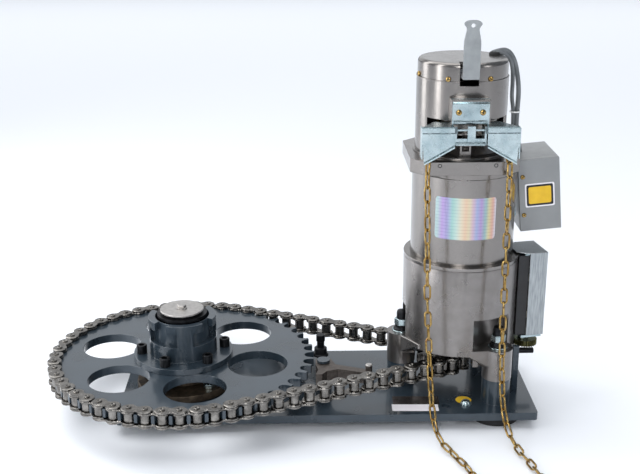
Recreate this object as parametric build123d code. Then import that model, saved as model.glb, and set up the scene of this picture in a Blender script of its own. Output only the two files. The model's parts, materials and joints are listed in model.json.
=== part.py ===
from build123d import *
from math import asin, atan2, ceil, cos, degrees, hypot, pi, radians, sin, sqrt, tan
import os

os.makedirs("parts", exist_ok=True)

# A roller door motor on its base plate: a chain wheel and hub that carry the door's drum, a roller
# chain, and an upright gear motor with a hand chain, a brake release lever, a limit unit and a
# control box. Millimetres, +Z up. The origin is the centre of the base plate's underside, +X runs
# from the chain wheel to the motor, and the front of the motor faces -Y.

# Clearances
run_gap = 0.05          # radial, shaft in its bearing or bush
seat_gap = 0.3          # between pieces that move past each other
fit_gap = 0.02          # radial, piece pressed or pushed home in another
through = 500           # height of a cut that goes right through the part

# Base plate and its feet
plate_length = 410
plate_width = 150
plate_t = 8
plate_corner = 3
fix_spacing_x = 234
fix_spacing_y = 116
fix_hole_r = 4.5
pad_r = 24
pad_t = 10
earth_screw_r = 5
earth_screw_h = 3.2

# Roller chain, 5/8 inch pitch
pitch = 15.875
roller_r = 5.08
chain_links = 66
wheel_teeth = 51
pinion_teeth = 9
inner_width = 9.4
link_plate_t = 1.9
link_plate_h = 14.6
link_gap = 0.1
pin_phase = 0.19        # pins start this share of a pitch past the near tangent point
chain_z = 35.6
wheel_tip_rise = 4.1
pinion_tip_rise = 2.9

# Chain wheel, hub and fixed axle
wheel_x = -145
wheel_t = 8.8
lightening_holes = 6
lightening_r = 30
lightening_pcr = 79.5
lightening_start = 43
hub_r = 50
hub_flange_t = 6
hub_screws = 6
hub_screw_pcr = 42
hub_screw_r = 3.9
hub_screw_head_r = 5.3
hub_screw_head_h = 9
barrel_r = 34
barrel_wall = 7
barrel_top = 84.5
barrel_slots = 4
barrel_slot_start = -125
tee_bottom = 62
tee_top = 76
tee_half = 17.5
tee_stem_half = 7
skirt_r = 31
skirt_bottom = 24
axle_r = 12.5
axle_flange_r = 48
axle_flange_t = 12
axle_boss_h = 4
axle_boss_wall = 12
axle_bolt_pcr = 38
axle_bolt_af = 10
bearing_t = 15
upper_bearing_z = 46
end_disc_r = 22.7
end_disc_t = 4
end_bolt_af = 9
end_bolt_h = 3.5
spacer_t = 2.7

# Motor mounting posts
motor_x = 135
post_r = 14
post_top = 33.6
left_post = (77.5, 0)
right_post_x = 168
right_post_y = 45
foot_r = 14.5
foot_top = 65
stud_r = 3.9
stud_top = 90
nut_af = 13
nut_h = 6.5
washer_r = 9.5
washer_t = 1.6
stop_at = (-4.3, 33.5)
stop_top = 46
stop_washer_bottom = 22.4
stop_nut_bottom = 24

# Chain tension jack
jack_x = 187.5
jack_t = 6
jack_half = 27
jack_top = 57
jack_notch_bottom = 50
jack_screw_z = 40.5
jack_screw_r = 3
jack_screw_length = 27
jack_nut_h = 5

# Gear housing
case_r = 57
case_bottom = 59.6
case_top = 151
case_wall = 6
gear_floor = 101
cover_t = 9
window_top = 97
window_half = 13.5
arm_length = 12
arm_rise = 12

# Gear train: module and teeth, motor pinion, countershaft, output wheel
module = 2
motor_pinion_teeth = 7
counter_wheel_teeth = 20
counter_pinion_teeth = 8
output_wheel_teeth = 32
stage_1_z = 124
stage_2_z = 104
gear_face = 12
output_shaft_r = 10
output_collar_r = 14
output_bolt_af = 13
output_bearing_r = 20
output_bearing_t = 12
counter_shaft_r = 5
shaft_r = 7

# Motor tube, stator, rotor
tube_r = 50.5
tube_wall = 3.5
tube_top = 236
core_bottom = 165
core_top = 215
air_gap = 0.5
rotor_r = 28
winding_overhang = 13
rotor_bearing_r = 16
rotor_bearing_t = 11

# End shield and upper housing, set a little to the left of the motor's axis
top_x = 129.5
shield_half = 51.5
shield_chamfer = 15
shield_bottom = 241
shield_top = 254
upper_r = 43.3
upper_wall = 3
upper_top = 326
register_h = 1.5
shaft_boss = (33, 19, 12)
catch_half = 5.3
catch_slot_half = 3.2
catch_rise = 14
mouth_top = 290.5
mouth_left = 35.5
mouth_right = 44
cap_r = 42.5
cap_top = 343
cap_skin = 2.5

# Hand chain wheel and hand chain
hand_wheel_z = 280.5
hand_chain_pcr = 28
hand_chain_r = 3.85
hand_flange_r = 31
hand_flange_t = 2
hand_notches = 10

# Brake
brake_plate_r = 30
brake_plate_t = 4
brake_coil_bottom = 308
brake_coil_h = 13
brake_air_gap = 1.5
armature_t = 3
brake_bore_r = 8
spring_r = 7.6
spring_wire = 2

# Release lever
lever_w = 15.2
lever_t = 2.5
lever_y = -50
lever_top = 383
lever_foot_z = 330
lever_pivot_y = -22
lever_pivot_rise = 1.5
lever_pin_r = 2
slot_w = 17.6
slot_bottom = 322.6

# Chain guides
guide_t = 1.2
guide_y = -66
guide_top = 289
guide_inner_drop = 16.5
guide_outer_drop = 32.5
guide_inner_x = 15
guide_outer_x = 44.8
bracket_y = -57.5
bracket_half = 17.5
bracket_rise = 19
bracket_plate_half = 15.5

# Limit unit, turned a little about its own spindle
limit_x = motor_x + case_r + 10.5
limit_y = -9
side_turn = 11
limit_bottom = 66
limit_top = 153.5
limit_teeth = 28
limit_module = 0.8
limit_pinion_teeth = 14
limit_spindle_r = 3
limit_nut = 10
limit_nut_h = 6
limit_nut_lower_z = 83
limit_nut_upper_z = 122
limit_left = -6.5
limit_right = 15
limit_front = -10.5
limit_back = 25
limit_gear_z = 53
limit_gear_h = 6
sheet_t = 1.2

# Control box
box_w = 44.5
box_d = 62
box_h = 73
box_corner = (top_x + shield_half + 6.6, 2, shield_bottom)
box_lean = 4.8
box_sheet = 1.5
box_screw_inset = 4.5

# Safety pawl under the near run of the chain
pawl_x = -2.8
pawl_y = -21.6
pawl_bottom = 28
pawl_top = 40
pawl_pin_r = 4
pawl_gap = 0.4


def save(node, *pieces):
    """Writes the pieces of one node, each as its own solid, to parts/NODE.step."""
    solids = [s for piece in pieces for s in piece.solids()]
    export_step(Compound(label=node, children=solids), f"parts/{node}.step")


def rod(x, y, z0, z1, r):
    """An upright cylinder from z0 to z1."""
    return Pos(x, y, z0) * Cylinder(r, z1 - z0, align=(Align.CENTER, Align.CENTER, Align.MIN))


def ring(x, y, z0, z1, r, bore):
    """An upright tube from z0 to z1."""
    return rod(x, y, z0, z1, r) - rod(x, y, z0 - 1, z1 + 1, bore)


def slab(x0, x1, y0, y1, z0, z1):
    """A box between two corners."""
    return Pos((x0 + x1) / 2, (y0 + y1) / 2, (z0 + z1) / 2) * Box(x1 - x0, y1 - y0, z1 - z0)


def prism(points, z0, z1):
    """A straight prism over a closed outline in XY."""
    return Pos(0, 0, z0) * extrude(make_face(Polyline(*points, close=True)), amount=z1 - z0)


def front_prism(points, y0, y1):
    """A straight prism over a closed outline given as (x, z), from y0 back to y1."""
    outline = [(x, -z) for x, z in points]
    turned = Rot(-90, 0, 0) * extrude(make_face(Polyline(*outline, close=True)), amount=y1 - y0)
    return Pos(0, y0, 0) * turned


def hexagon(x, y, z0, z1, across_flats, bore=0):
    """A hexagon nut or bolt head, with a bore if one is given."""
    corner = across_flats / 2 / cos(pi / 6)
    body = prism(around(6, corner, centre=(x, y)), z0, z1)
    return body - rod(x, y, z0 - 1, z1 + 1, bore) if bore else body


def around(count, radius, start=0, centre=(0, 0)):
    """Points on a circle, the first one at the start angle in degrees."""
    return [(centre[0] + radius * cos(radians(start + 360 * i / count)),
             centre[1] + radius * sin(radians(start + 360 * i / count))) for i in range(count)]


# Chain geometry: both wheels, their distance for a whole number of links, and every pin

wheel_pitch_r = pitch / 2 / sin(pi / wheel_teeth)
pinion_pitch_r = pitch / 2 / sin(pi / pinion_teeth)


def loop_links(distance):
    """The length of the loop in links for a centre distance."""
    slope = asin((wheel_pitch_r - pinion_pitch_r) / distance)
    on_wheel = (pi + 2 * slope) / (2 * pi / wheel_teeth)
    on_pinion = (pi - 2 * slope) / (2 * pi / pinion_teeth)
    return 2 * distance * cos(slope) / pitch + on_wheel + on_pinion


low, high = 1.2 * wheel_pitch_r, 4 * wheel_pitch_r
for _ in range(50):
    middle = (low + high) / 2
    low, high = (middle, high) if loop_links(middle) < chain_links else (low, middle)
centre_distance = (low + high) / 2
output_x = wheel_x + centre_distance
strand_slope = asin((wheel_pitch_r - pinion_pitch_r) / centre_distance)
strand = centre_distance * cos(strand_slope) / pitch
on_pinion = (pi - 2 * strand_slope) / (2 * pi / pinion_teeth)


def pin_place(s):
    """The place of a pin that is s links along the loop from the near tangent point of the wheel."""
    tangent = -pi / 2 + strand_slope
    if s < strand:
        along = s * pitch
        return (wheel_x + wheel_pitch_r * cos(tangent) + along * cos(strand_slope),
                wheel_pitch_r * sin(tangent) + along * sin(strand_slope))
    if s < strand + on_pinion:
        turn = tangent + (s - strand) * 2 * pi / pinion_teeth
        return output_x + pinion_pitch_r * cos(turn), pinion_pitch_r * sin(turn)
    if s < 2 * strand + on_pinion:
        along = (s - strand - on_pinion) * pitch
        return (output_x + pinion_pitch_r * cos(tangent) - along * cos(strand_slope),
                -pinion_pitch_r * sin(tangent) + along * sin(strand_slope))
    turn = -tangent + (s - 2 * strand - on_pinion) * 2 * pi / wheel_teeth
    return wheel_x + wheel_pitch_r * cos(turn), wheel_pitch_r * sin(turn)


pins = [pin_place(pin_phase + i) for i in range(chain_links)]
wheel_pin = pins[-1]
pinion_pin = pin_place(pin_phase + ceil(strand - pin_phase))


def sprocket(centre_x, teeth, pitch_r, seat_pin, tip_rise, z0, z1):
    """A toothed wheel: round seats for the rollers between straight-flanked teeth."""
    seat_r = roller_r + seat_gap
    step = 2 * pi / teeth
    first = atan2(seat_pin[1], seat_pin[0] - centre_x)

    def polar(r, a):
        return centre_x + r * cos(a), r * sin(a)

    def seat_edge(a, side):
        x, y = polar(pitch_r, a)
        turn = a + pi - side * radians(62)
        return x + seat_r * cos(turn), y + seat_r * sin(turn)

    edges = []
    for i in range(teeth):
        a = first + i * step
        tips = [polar(pitch_r + tip_rise, a + (0.5 + share) * step) for share in (-0.1, 0.1)]
        edges.append(ThreePointArc(seat_edge(a, -1), polar(pitch_r - seat_r, a), seat_edge(a, 1)))
        edges += Polyline(seat_edge(a, 1), *tips, seat_edge(a + step, -1)).edges()
    return Pos(0, 0, z0) * extrude(make_face(Wire(edges)), amount=z1 - z0)


def gear(x, y, teeth, size, z0, z1, tooth_at, thick=0.40):
    """A spur gear with straight-flanked teeth, one of them centred on the angle tooth_at."""
    step = 2 * pi / teeth
    root, tip = size * (teeth / 2 - 1.2), size * (teeth / 2 + 0.85)
    root_half, tip_half = 0.5 * thick * 1.55 * step, 0.5 * thick * 0.45 * step
    corners = [(root, -root_half), (tip, -tip_half), (tip, tip_half), (root, root_half)]
    outline = []
    for i in range(teeth):
        a = tooth_at + i * step
        outline += [(x + r * cos(a + half), y + r * sin(a + half)) for r, half in corners]
    return prism(outline, z0, z1)


def link_plate(p, q, z0, z1):
    """A waisted link plate between two pins, with its ends cut to a few flats."""
    length = hypot(q[0] - p[0], q[1] - p[1])
    ux, uy = (q[0] - p[0]) / length, (q[1] - p[1]) / length
    end = link_plate_h / 2
    flats = [(0.0, 0.80), (-0.72, 0.72), (-1.0, 0.0)]
    left = [(end * x, end * y) for x, y in flats]
    shape = left + [(x, -y) for x, y in reversed(left[:-1])]
    shape += [(length - x, y) for x, y in [(end * a, -end * b) for a, b in flats]]
    shape += [(length - x, -y) for x, y in reversed([(end * a, -end * b) for a, b in flats[:-1]])]
    return prism([(p[0] + ux * x - uy * y, p[1] + uy * x + ux * y) for x, y in shape], z0, z1)


def roller(p, z0, z1):
    """One roller, ten-sided so that the chain stays light."""
    return prism(around(10, roller_r, centre=p), z0, z1)


# Base plate, rubber pads, motor posts

posts = [left_post, (right_post_x, -right_post_y), (right_post_x, right_post_y)]
fixings = [(i * fix_spacing_x / 2, j * fix_spacing_y / 2) for i in (-1, 1) for j in (-1, 1)]
earth_at = (137.5, -52)


def base_plate():
    """The plate with its four fixing holes and the three posts welded on it."""
    plate = slab(-plate_length / 2, plate_length / 2, -plate_width / 2, plate_width / 2, 0, plate_t)
    plate = fillet(plate.edges().filter_by(Axis.Z), plate_corner)
    for x, y in fixings:
        plate -= rod(x, y, -1, plate_t + 1, fix_hole_r)
    for x, y in posts:
        plate += rod(x, y, plate_t, post_top, post_r)
    return plate


save("base_plate", base_plate())
save("rubber_pads", *[rod(x, y, -pad_t, 0, pad_r) for x, y in posts + [(wheel_x, 0)]])

# Fixed axle that the chain wheel turns on

axle_top = barrel_top + seat_gap + spacer_t
flange_top = plate_t + axle_flange_t
flange_rim_z = flange_top - axle_boss_h


def axle_flange():
    """The bolted flange with its raised centre, and the fixed axle on it."""
    body = rod(wheel_x, 0, plate_t, flange_rim_z, axle_flange_r)
    body += rod(wheel_x, 0, flange_rim_z, flange_top, axle_r + axle_boss_wall)
    return body + rod(wheel_x, 0, flange_top, axle_top, axle_r)


lower_bearing_z = skirt_bottom
save("axle_and_flange", axle_flange())
flange_screws = [hexagon(x, y, flange_rim_z, flange_top + 1, axle_bolt_af)
                 for x, y in around(4, axle_bolt_pcr, 45, (wheel_x, 0))]
save("plate_screws", *flange_screws, rod(*earth_at, plate_t, plate_t + earth_screw_h, earth_screw_r))
save("axle_spacers",
     ring(wheel_x, 0, upper_bearing_z + bearing_t, barrel_top, axle_r + 5, axle_r + fit_gap),
     ring(wheel_x, 0, barrel_top, axle_top, barrel_r - barrel_wall - 2, axle_r + fit_gap))
end_disc_top = axle_top + end_disc_t
save("end_disc", rod(wheel_x, 0, axle_top, end_disc_top, end_disc_r)
     + hexagon(wheel_x, 0, end_disc_top, end_disc_top + end_bolt_h, end_bolt_af))


def ball_bearing(x, y, z0, bore, outer, width):
    """A shielded ball bearing as one ring, its shields set back between the two races."""
    body = ring(x, y, z0, z0 + width, outer, bore)
    race = (outer - bore) * 0.28
    for z in (z0 - 1, z0 + width - 1):
        body -= ring(x, y, z, z + 2, outer - race, bore + race)
    return body


bearing_r = barrel_r - barrel_wall
hub_bearings = [ball_bearing(wheel_x, 0, z, axle_r + fit_gap, bearing_r - run_gap, bearing_t)
                for z in (lower_bearing_z, upper_bearing_z)]

# Chain wheel and hub

wheel_bottom = chain_z - wheel_t / 2
wheel_top = chain_z + wheel_t / 2
screw_places = around(hub_screws, hub_screw_pcr, 10, (wheel_x, 0))


def chain_wheel():
    """The toothed disc with its lightening holes, bored for the hub's skirt."""
    body = sprocket(wheel_x, wheel_teeth, wheel_pitch_r, wheel_pin, wheel_tip_rise, wheel_bottom, wheel_top)
    body -= rod(wheel_x, 0, 0, through, skirt_r + fit_gap)
    for x, y in around(lightening_holes, lightening_pcr, lightening_start, (wheel_x, 0)):
        body -= rod(x, y, 0, through, lightening_r)
    for x, y in screw_places:
        body -= rod(x, y, 0, through, hub_screw_r + 0.1)
    return body


def hub():
    """Flange, skirt and barrel in one casting, with four T-shaped openings in the barrel."""
    body = rod(wheel_x, 0, wheel_top, wheel_top + hub_flange_t, hub_r)
    body += rod(wheel_x, 0, skirt_bottom, wheel_top, skirt_r)
    body += rod(wheel_x, 0, wheel_top + hub_flange_t, barrel_top, barrel_r)
    body -= rod(wheel_x, 0, skirt_bottom - 1, barrel_top + 1, bearing_r)
    body += ring(wheel_x, 0, lower_bearing_z + bearing_t + seat_gap, upper_bearing_z - seat_gap,
                 bearing_r + 1, bearing_r - 5)
    inside, outside = bearing_r - 3, barrel_r + 2
    for i in range(barrel_slots):
        at = Pos(wheel_x, 0, 0) * Rot(0, 0, barrel_slot_start + 360 / barrel_slots * i)
        body -= at * slab(inside, outside, -tee_half, tee_half, tee_bottom, tee_top)
        body -= at * slab(inside, outside, -tee_stem_half, tee_stem_half, tee_top - 1, barrel_top + 1)
    for x, y in screw_places:
        body -= rod(x, y, wheel_top - 1, wheel_top + hub_flange_t + 1, hub_screw_r + 0.3)
    return body


def socket_screw(x, y):
    """A screw that holds the hub's flange on the wheel, with its round head above."""
    head_z = wheel_top + hub_flange_t
    shank = rod(x, y, wheel_bottom + 1, head_z, hub_screw_r)
    return rod(x, y, head_z, head_z + hub_screw_head_h, hub_screw_head_r) + shank


save("chain_wheel", chain_wheel())
save("hub_and_barrel", hub())
save("hub_screws", *[socket_screw(x, y) for x, y in screw_places])

# Roller chain: inner links of two plates and two rollers, and outer plates over every second pair

inner_z = (chain_z - inner_width / 2, chain_z + inner_width / 2)
inner_out = (inner_z[0] - link_plate_t, inner_z[1] + link_plate_t)
outer_in = (inner_out[0] - link_gap, inner_out[1] + link_gap)
inner_links = []
outer_links = []
for i in range(chain_links):
    p, q = pins[i], pins[(i + 1) % chain_links]
    if i % 2:
        link = link_plate(p, q, inner_out[0], inner_z[0]) + link_plate(p, q, inner_z[1], inner_out[1])
        inner_links.append(link + roller(p, *inner_z) + roller(q, *inner_z))
    else:
        outer_links.append(link_plate(p, q, outer_in[0] - link_plate_t, outer_in[0]))
        outer_links.append(link_plate(p, q, outer_in[1], outer_in[1] + link_plate_t))
save("roller_chain_inner_links", *inner_links)
save("roller_chain_outer_plates", *outer_links)

# Output shaft with its sprocket and gear wheel

stage_1_distance = module * (motor_pinion_teeth + counter_wheel_teeth) / 2
stage_2_distance = module * (counter_pinion_teeth + output_wheel_teeth) / 2
counter_x = (output_x ** 2 - motor_x ** 2 + stage_1_distance ** 2 - stage_2_distance ** 2) / (
    2 * (output_x - motor_x))
counter_y = sqrt(stage_1_distance ** 2 - (counter_x - motor_x) ** 2)
to_counter_1 = atan2(counter_y, counter_x - motor_x)
to_counter_2 = atan2(counter_y, counter_x - output_x)

save("output_sprocket",
     (sprocket(output_x, pinion_teeth, pinion_pitch_r, pinion_pin, pinion_tip_rise, wheel_bottom, wheel_top)
      + rod(output_x, 0, wheel_top, case_bottom - 8, output_collar_r))
     - rod(output_x, 0, 0, through, output_shaft_r + fit_gap))
output_bore = rod(output_x, 0, 0, through, output_shaft_r + fit_gap)
output_gear = gear(output_x, 0, output_wheel_teeth, module, stage_2_z, stage_2_z + gear_face, to_counter_2)
bolt_washer_z = wheel_bottom - 2.5
save("output_shaft", rod(output_x, 0, wheel_bottom - 1, stage_2_z + gear_face + 4, output_shaft_r),
     output_gear - output_bore,
     hexagon(output_x, 0, bolt_washer_z - 4.5, bolt_washer_z, output_bolt_af)
     + rod(output_x, 0, bolt_washer_z, wheel_bottom - 1, 13))
output_bearing_z = (case_bottom + 4, gear_floor - output_bearing_t - 1)
output_bearings = [ball_bearing(output_x, 0, z, output_shaft_r + run_gap, output_bearing_r, output_bearing_t)
                   for z in output_bearing_z]

# Countershaft: its pinion is cut on the shaft and the larger wheel is keyed above

counter_at = (counter_x, counter_y)
counter_bore = rod(*counter_at, 0, through, counter_shaft_r + fit_gap)
counter_pinion = gear(*counter_at, counter_pinion_teeth, module, stage_2_z, stage_2_z + gear_face,
                      to_counter_2 + pi + pi / counter_pinion_teeth)
counter_wheel = gear(*counter_at, counter_wheel_teeth, module, stage_1_z, stage_1_z + gear_face - 2,
                     to_counter_1 + pi + pi / counter_wheel_teeth)
save("countershaft", counter_pinion + rod(*counter_at, gear_floor - 9, case_top - 3, counter_shaft_r),
     counter_wheel - counter_bore)

# Gear housing with three feet, relieved above each foot for its nut

feet = [(x, y, degrees(atan2(y, x - motor_x))) for x, y in posts]


def gear_housing():
    """The round case with its feet, the seats of its bearings and the space for the gears."""
    body = rod(motor_x, 0, case_bottom, case_top, case_r)
    body = chamfer(body.edges().filter_by(GeomType.CIRCLE).sort_by(Axis.Z)[-1], 4)
    for x, y, turn in feet:
        body += rod(x, y, post_top, foot_top, foot_r)
        inward = Pos(x, y, 0) * Rot(0, 0, turn)
        body += inward * slab(-arm_length, 0, -foot_r, foot_r, post_top + arm_rise, foot_top)
    for x, y, turn in feet:
        inward = Pos(x, y, 0) * Rot(0, 0, turn)
        body -= inward * slab(-window_half, foot_r + 5, -window_half, window_half, foot_top, window_top)
        body -= rod(x, y, post_top - 1, foot_top + 1, stud_r + 0.3)
    body -= rod(motor_x, 0, gear_floor, case_top + 1, case_r - case_wall)
    body -= rod(output_x, 0, case_bottom - 1, gear_floor + 1, output_shaft_r + 2)
    low_seat_top = output_bearing_z[0] + output_bearing_t + fit_gap
    body -= rod(output_x, 0, case_bottom - 1, low_seat_top, output_bearing_r + fit_gap)
    body -= rod(output_x, 0, output_bearing_z[1] - fit_gap, gear_floor + 1, output_bearing_r + fit_gap)
    body -= rod(*counter_at, gear_floor - 10, gear_floor + 1, counter_shaft_r + run_gap)
    return body - rod(*limit_pinion_at, case_bottom - 1, case_bottom + 13, limit_pinion_shaft_r + run_gap)


limit_gap_r = limit_module * (limit_teeth + limit_pinion_teeth) / 2
limit_pinion_at = (limit_x - limit_gap_r, limit_y)
limit_pinion_shaft_r = 2.5
save("gear_housing", gear_housing())
cover_z = case_top - cover_t
save("gear_housing_cover",
     rod(motor_x, 0, cover_z, case_top, case_r - case_wall - fit_gap)
     - rod(motor_x, 0, 0, through, rotor_bearing_r + fit_gap)
     - rod(*counter_at, 0, through, counter_shaft_r + run_gap))
save("m8_studs", *[rod(x, y, post_top, stud_top, stud_r) for x, y in posts],
     rod(*stop_at, plate_t, stop_top, stud_r))
save("foot_washers", *[ring(x, y, foot_top, foot_top + washer_t, washer_r, stud_r + 0.2) for x, y in posts])
nut_z = foot_top + washer_t
nut_bore_r = stud_r + run_gap
stop_nut = (ring(*stop_at, stop_washer_bottom, stop_nut_bottom, 9, nut_bore_r)
            + hexagon(*stop_at, stop_nut_bottom, stop_nut_bottom + nut_h, nut_af, nut_bore_r))
save("m8_nuts", stop_nut, *[hexagon(x, y, z, z + nut_h, nut_af, nut_bore_r)
                            for x, y in posts for z in (nut_z, nut_z + nut_h)])

# Chain tension jack: an upright plate and a screw that bears on the housing


def lengthways(x, r, length):
    """A round bar along X at the height of the jack's screw, starting at x."""
    return Pos(x + length / 2, 0, jack_screw_z) * Rot(0, 90, 0) * Cylinder(r, length)


def tension_bracket():
    """The upright plate, notched from above and bored for the screw."""
    plate = slab(jack_x, jack_x + jack_t, -jack_half, jack_half, plate_t, jack_top)
    plate -= slab(jack_x - 1, jack_x + jack_t + 1, -jack_half + 4, 13, jack_notch_bottom, jack_top + 1)
    return plate - lengthways(jack_x - 1, jack_screw_r + 0.2, jack_t + 2)


save("tension_bracket", tension_bracket())
jack_nut = hexagon(0, 0, 0, jack_nut_h, 10, jack_screw_r + run_gap)
save("tension_screw", lengthways(jack_x - 0.5, jack_screw_r, jack_screw_length),
     Pos(jack_x + jack_t, 0, jack_screw_z) * Rot(0, 90, 0) * jack_nut)

# Motor tube, stator and rotor

save("motor_tube", ring(motor_x, 0, case_top, tube_top, tube_r, tube_r - tube_wall))
stator_bore = rotor_r + air_gap
save("stator_core", ring(motor_x, 0, core_bottom, core_top, tube_r - tube_wall - fit_gap, stator_bore))
save("stator_windings", *[ring(motor_x, 0, z, z + winding_overhang, tube_r - tube_wall - 4, stator_bore + 3)
                          for z in (core_bottom - winding_overhang, core_top)])
brake_disc_z = brake_coil_bottom - brake_air_gap - armature_t - seat_gap - brake_plate_t
save("rotor_shaft",
     gear(motor_x, 0, motor_pinion_teeth, module, stage_1_z - 1, stage_1_z + gear_face, to_counter_1)
     + rod(motor_x, 0, stage_1_z + gear_face, brake_disc_z + brake_plate_t, shaft_r),
     ring(motor_x, 0, core_bottom, core_top, rotor_r, shaft_r + fit_gap))
rotor_bearings = [ball_bearing(motor_x, 0, z, shaft_r + run_gap, rotor_bearing_r, rotor_bearing_t)
                  for z in (case_top - rotor_bearing_t, shield_bottom)]
save("ball_bearings", *hub_bearings, *output_bearings, *rotor_bearings)

# End shield: a round register in the tube and an eight-sided flange


def end_shield():
    """The flange with its registers, the boss of the shaft and the upright catch in front of it."""
    h, c = shield_half, shield_chamfer
    corners = [(-h + c, -h), (h - c, -h), (h, -h + c), (h, h - c),
               (h - c, h), (-h + c, h), (-h, h - c), (-h, -h + c)]
    body = rod(motor_x, 0, tube_top, shield_bottom, tube_r)
    body += rod(motor_x, 0, tube_top - 6, tube_top, tube_r - tube_wall - fit_gap)
    body += prism([(top_x + x, y) for x, y in corners], shield_bottom, shield_top)
    register_top = shield_top + register_h
    body += rod(top_x, 0, shield_top, register_top, upper_r - upper_wall - fit_gap)
    body += Pos(motor_x, 0, register_top) * Cone(*shaft_boss, align=(Align.CENTER, Align.CENTER, Align.MIN))
    body += slab(top_x - catch_half, top_x + catch_half, -36, -20, register_top, shield_top + catch_rise)
    body -= slab(top_x - catch_slot_half, top_x + catch_slot_half, -37, -22,
                 shield_top + catch_rise - 7.5, shield_top + catch_rise - 2)
    body -= rod(motor_x, 0, tube_top - 7, shield_bottom + rotor_bearing_t, rotor_bearing_r + fit_gap)
    return body - rod(motor_x, 0, shield_bottom, through, shaft_r + 1)


save("end_shield", end_shield())

# Upper housing with an open mouth for the hand chain, and the brake inside it


def upper_housing():
    """The shell with its mouth and the lever's slot, and the ring that carries the brake coil."""
    body = ring(top_x, 0, shield_top, upper_top, upper_r, upper_r - upper_wall)
    front = -upper_r - 10
    body -= slab(top_x - mouth_left, top_x + mouth_right, front, -4, shield_top + register_h, mouth_top)
    body -= slab(top_x - slot_w / 2, top_x + slot_w / 2, front, -30, slot_bottom, upper_top + 1)
    shelf = ring(top_x, 0, brake_coil_bottom - 1, brake_coil_bottom + brake_coil_h,
                 upper_r - upper_wall + 0.5, brake_plate_r + fit_gap)
    return body + (shelf - slab(top_x + front, top_x - front, front, -18, 0, through))


save("upper_housing", upper_housing())


def top_cap():
    """The pressed cap, slotted in front for the lever."""
    body = rod(top_x, 0, upper_top, cap_top, cap_r)
    body = fillet(body.edges().sort_by(Axis.Z)[-1], 4)
    body -= rod(top_x, 0, upper_top - 1, cap_top - cap_skin, cap_r - cap_skin)
    body -= slab(top_x - slot_w / 2, top_x + slot_w / 2, -60, -30, upper_top - 1, cap_top + 1)
    return body


save("top_cap", top_cap())
cap_screws = [Pos(top_x, 0, upper_top + 3) * Rot(0, 0, a) * Pos(cap_r + 0.9, 0, 0) * Rot(0, 90, 0)
              * Cylinder(2.6, 1.8) for a in (-116, -62, 190, 15, 90)]
save("brake_disc",
     ring(motor_x, 0, brake_disc_z, brake_disc_z + brake_plate_t, brake_plate_r, shaft_r + fit_gap))
armature_z = brake_disc_z + brake_plate_t + seat_gap
brake_coil_top = brake_coil_bottom + brake_coil_h
save("brake_armature", ring(top_x, 0, armature_z, armature_z + armature_t, brake_plate_r, brake_bore_r))
save("brake_coil", ring(top_x, 0, brake_coil_bottom, brake_coil_top, brake_plate_r, brake_bore_r))
save("brake_spring",
     ring(top_x, 0, armature_z + armature_t, brake_coil_top - 3, spring_r, spring_r - spring_wire))

# Hand chain wheel and the chain that lies round the back of it


def hand_chain_wheel():
    """A grooved wheel between two flanges that are notched for the links."""
    half = hand_chain_r + 0.9 + hand_flange_t
    body = rod(motor_x, 0, hand_wheel_z - half, hand_wheel_z + half, hand_flange_r)
    groove = hand_chain_pcr - hand_chain_r - seat_gap
    body -= ring(motor_x, 0, hand_wheel_z - half + hand_flange_t, hand_wheel_z + half - hand_flange_t,
                 hand_flange_r + 1, groove)
    for x, y in around(hand_notches, hand_flange_r, 9, (motor_x, 0)):
        body -= rod(x, y, hand_wheel_z - half - 1, hand_wheel_z + half + 1, 3)
    return body - rod(motor_x, 0, 0, through, shaft_r + run_gap)


save("hand_chain_wheel", hand_chain_wheel())


def cord(points, r):
    """A plain tube along straight runs joined by arcs almost as large as the runs allow."""
    runs = [Vector(*b) - Vector(*a) for a, b in zip(points, points[1:])]
    radii = []
    for a, b in zip(runs, runs[1:]):
        turn = radians(a.get_angle(b))
        radii.append(0.45 * min(a.length, b.length) / tan(turn / 2))
    path = FilletPolyline(*points, radius=radii)
    return sweep(Plane(path @ 0, z_dir=path % 0) * Circle(r), path=path)


floor_z = -pad_t + hand_chain_r + 0.4
hank_x, hank_y = 165, -238
hank_w, hank_d = 92, 84
left_side = [
    (130, hank_y + hank_d / 2, floor_z), (130, -174, floor_z), (124, -150, floor_z), (115, -128, floor_z),
    (106, -108, floor_z + 2), (101, -94, 6), (99, -85, 26), (97, -80, 56), (95, -77.5, 92), (93, -74, 130),
    (92.6, -70, 170), (92, -66, 206), (91.3, -63, 236), (92, -58, 258), (96, -49, 273), (101, -36, 280),
    (motor_x - hand_chain_pcr, -18, hand_wheel_z),
]
right_side = [
    (motor_x + hand_chain_pcr, -18, hand_wheel_z), (165, -36, 280),
    (167, -49, 273), (167.2, -58, 258), (166.8, -63, 236), (166, -66, 206), (165.6, -70, 170),
    (165.4, -74, 130), (165, -77.5, 92), (166, -80, 56), (167, -85, 26), (170, -94, 6),
    (174, -107, floor_z + 2), (178, -126, floor_z),
    (184, -149, floor_z), (189, -173, floor_z), (189, hank_y + hank_d / 2, floor_z),
]
wrap_r = hand_chain_pcr / cos(pi / 8)
wrap = [(motor_x + wrap_r * cos(a * pi / 8), wrap_r * sin(a * pi / 8), hand_wheel_z) for a in (7, 5, 3, 1)]
save("hand_chain", cord(left_side + wrap + right_side, hand_chain_r))
save("hand_chain_hank", Pos(hank_x, hank_y, floor_z) * fillet(
    Box(hank_w, hank_d, 2 * hand_chain_r).edges().filter_by(Axis.Z), 8))

# Chain guides: two folded funnels, the saddle between them and the bracket they hang from

housing_space = rod(top_x, 0, 0, through, upper_r + fit_gap)


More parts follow.
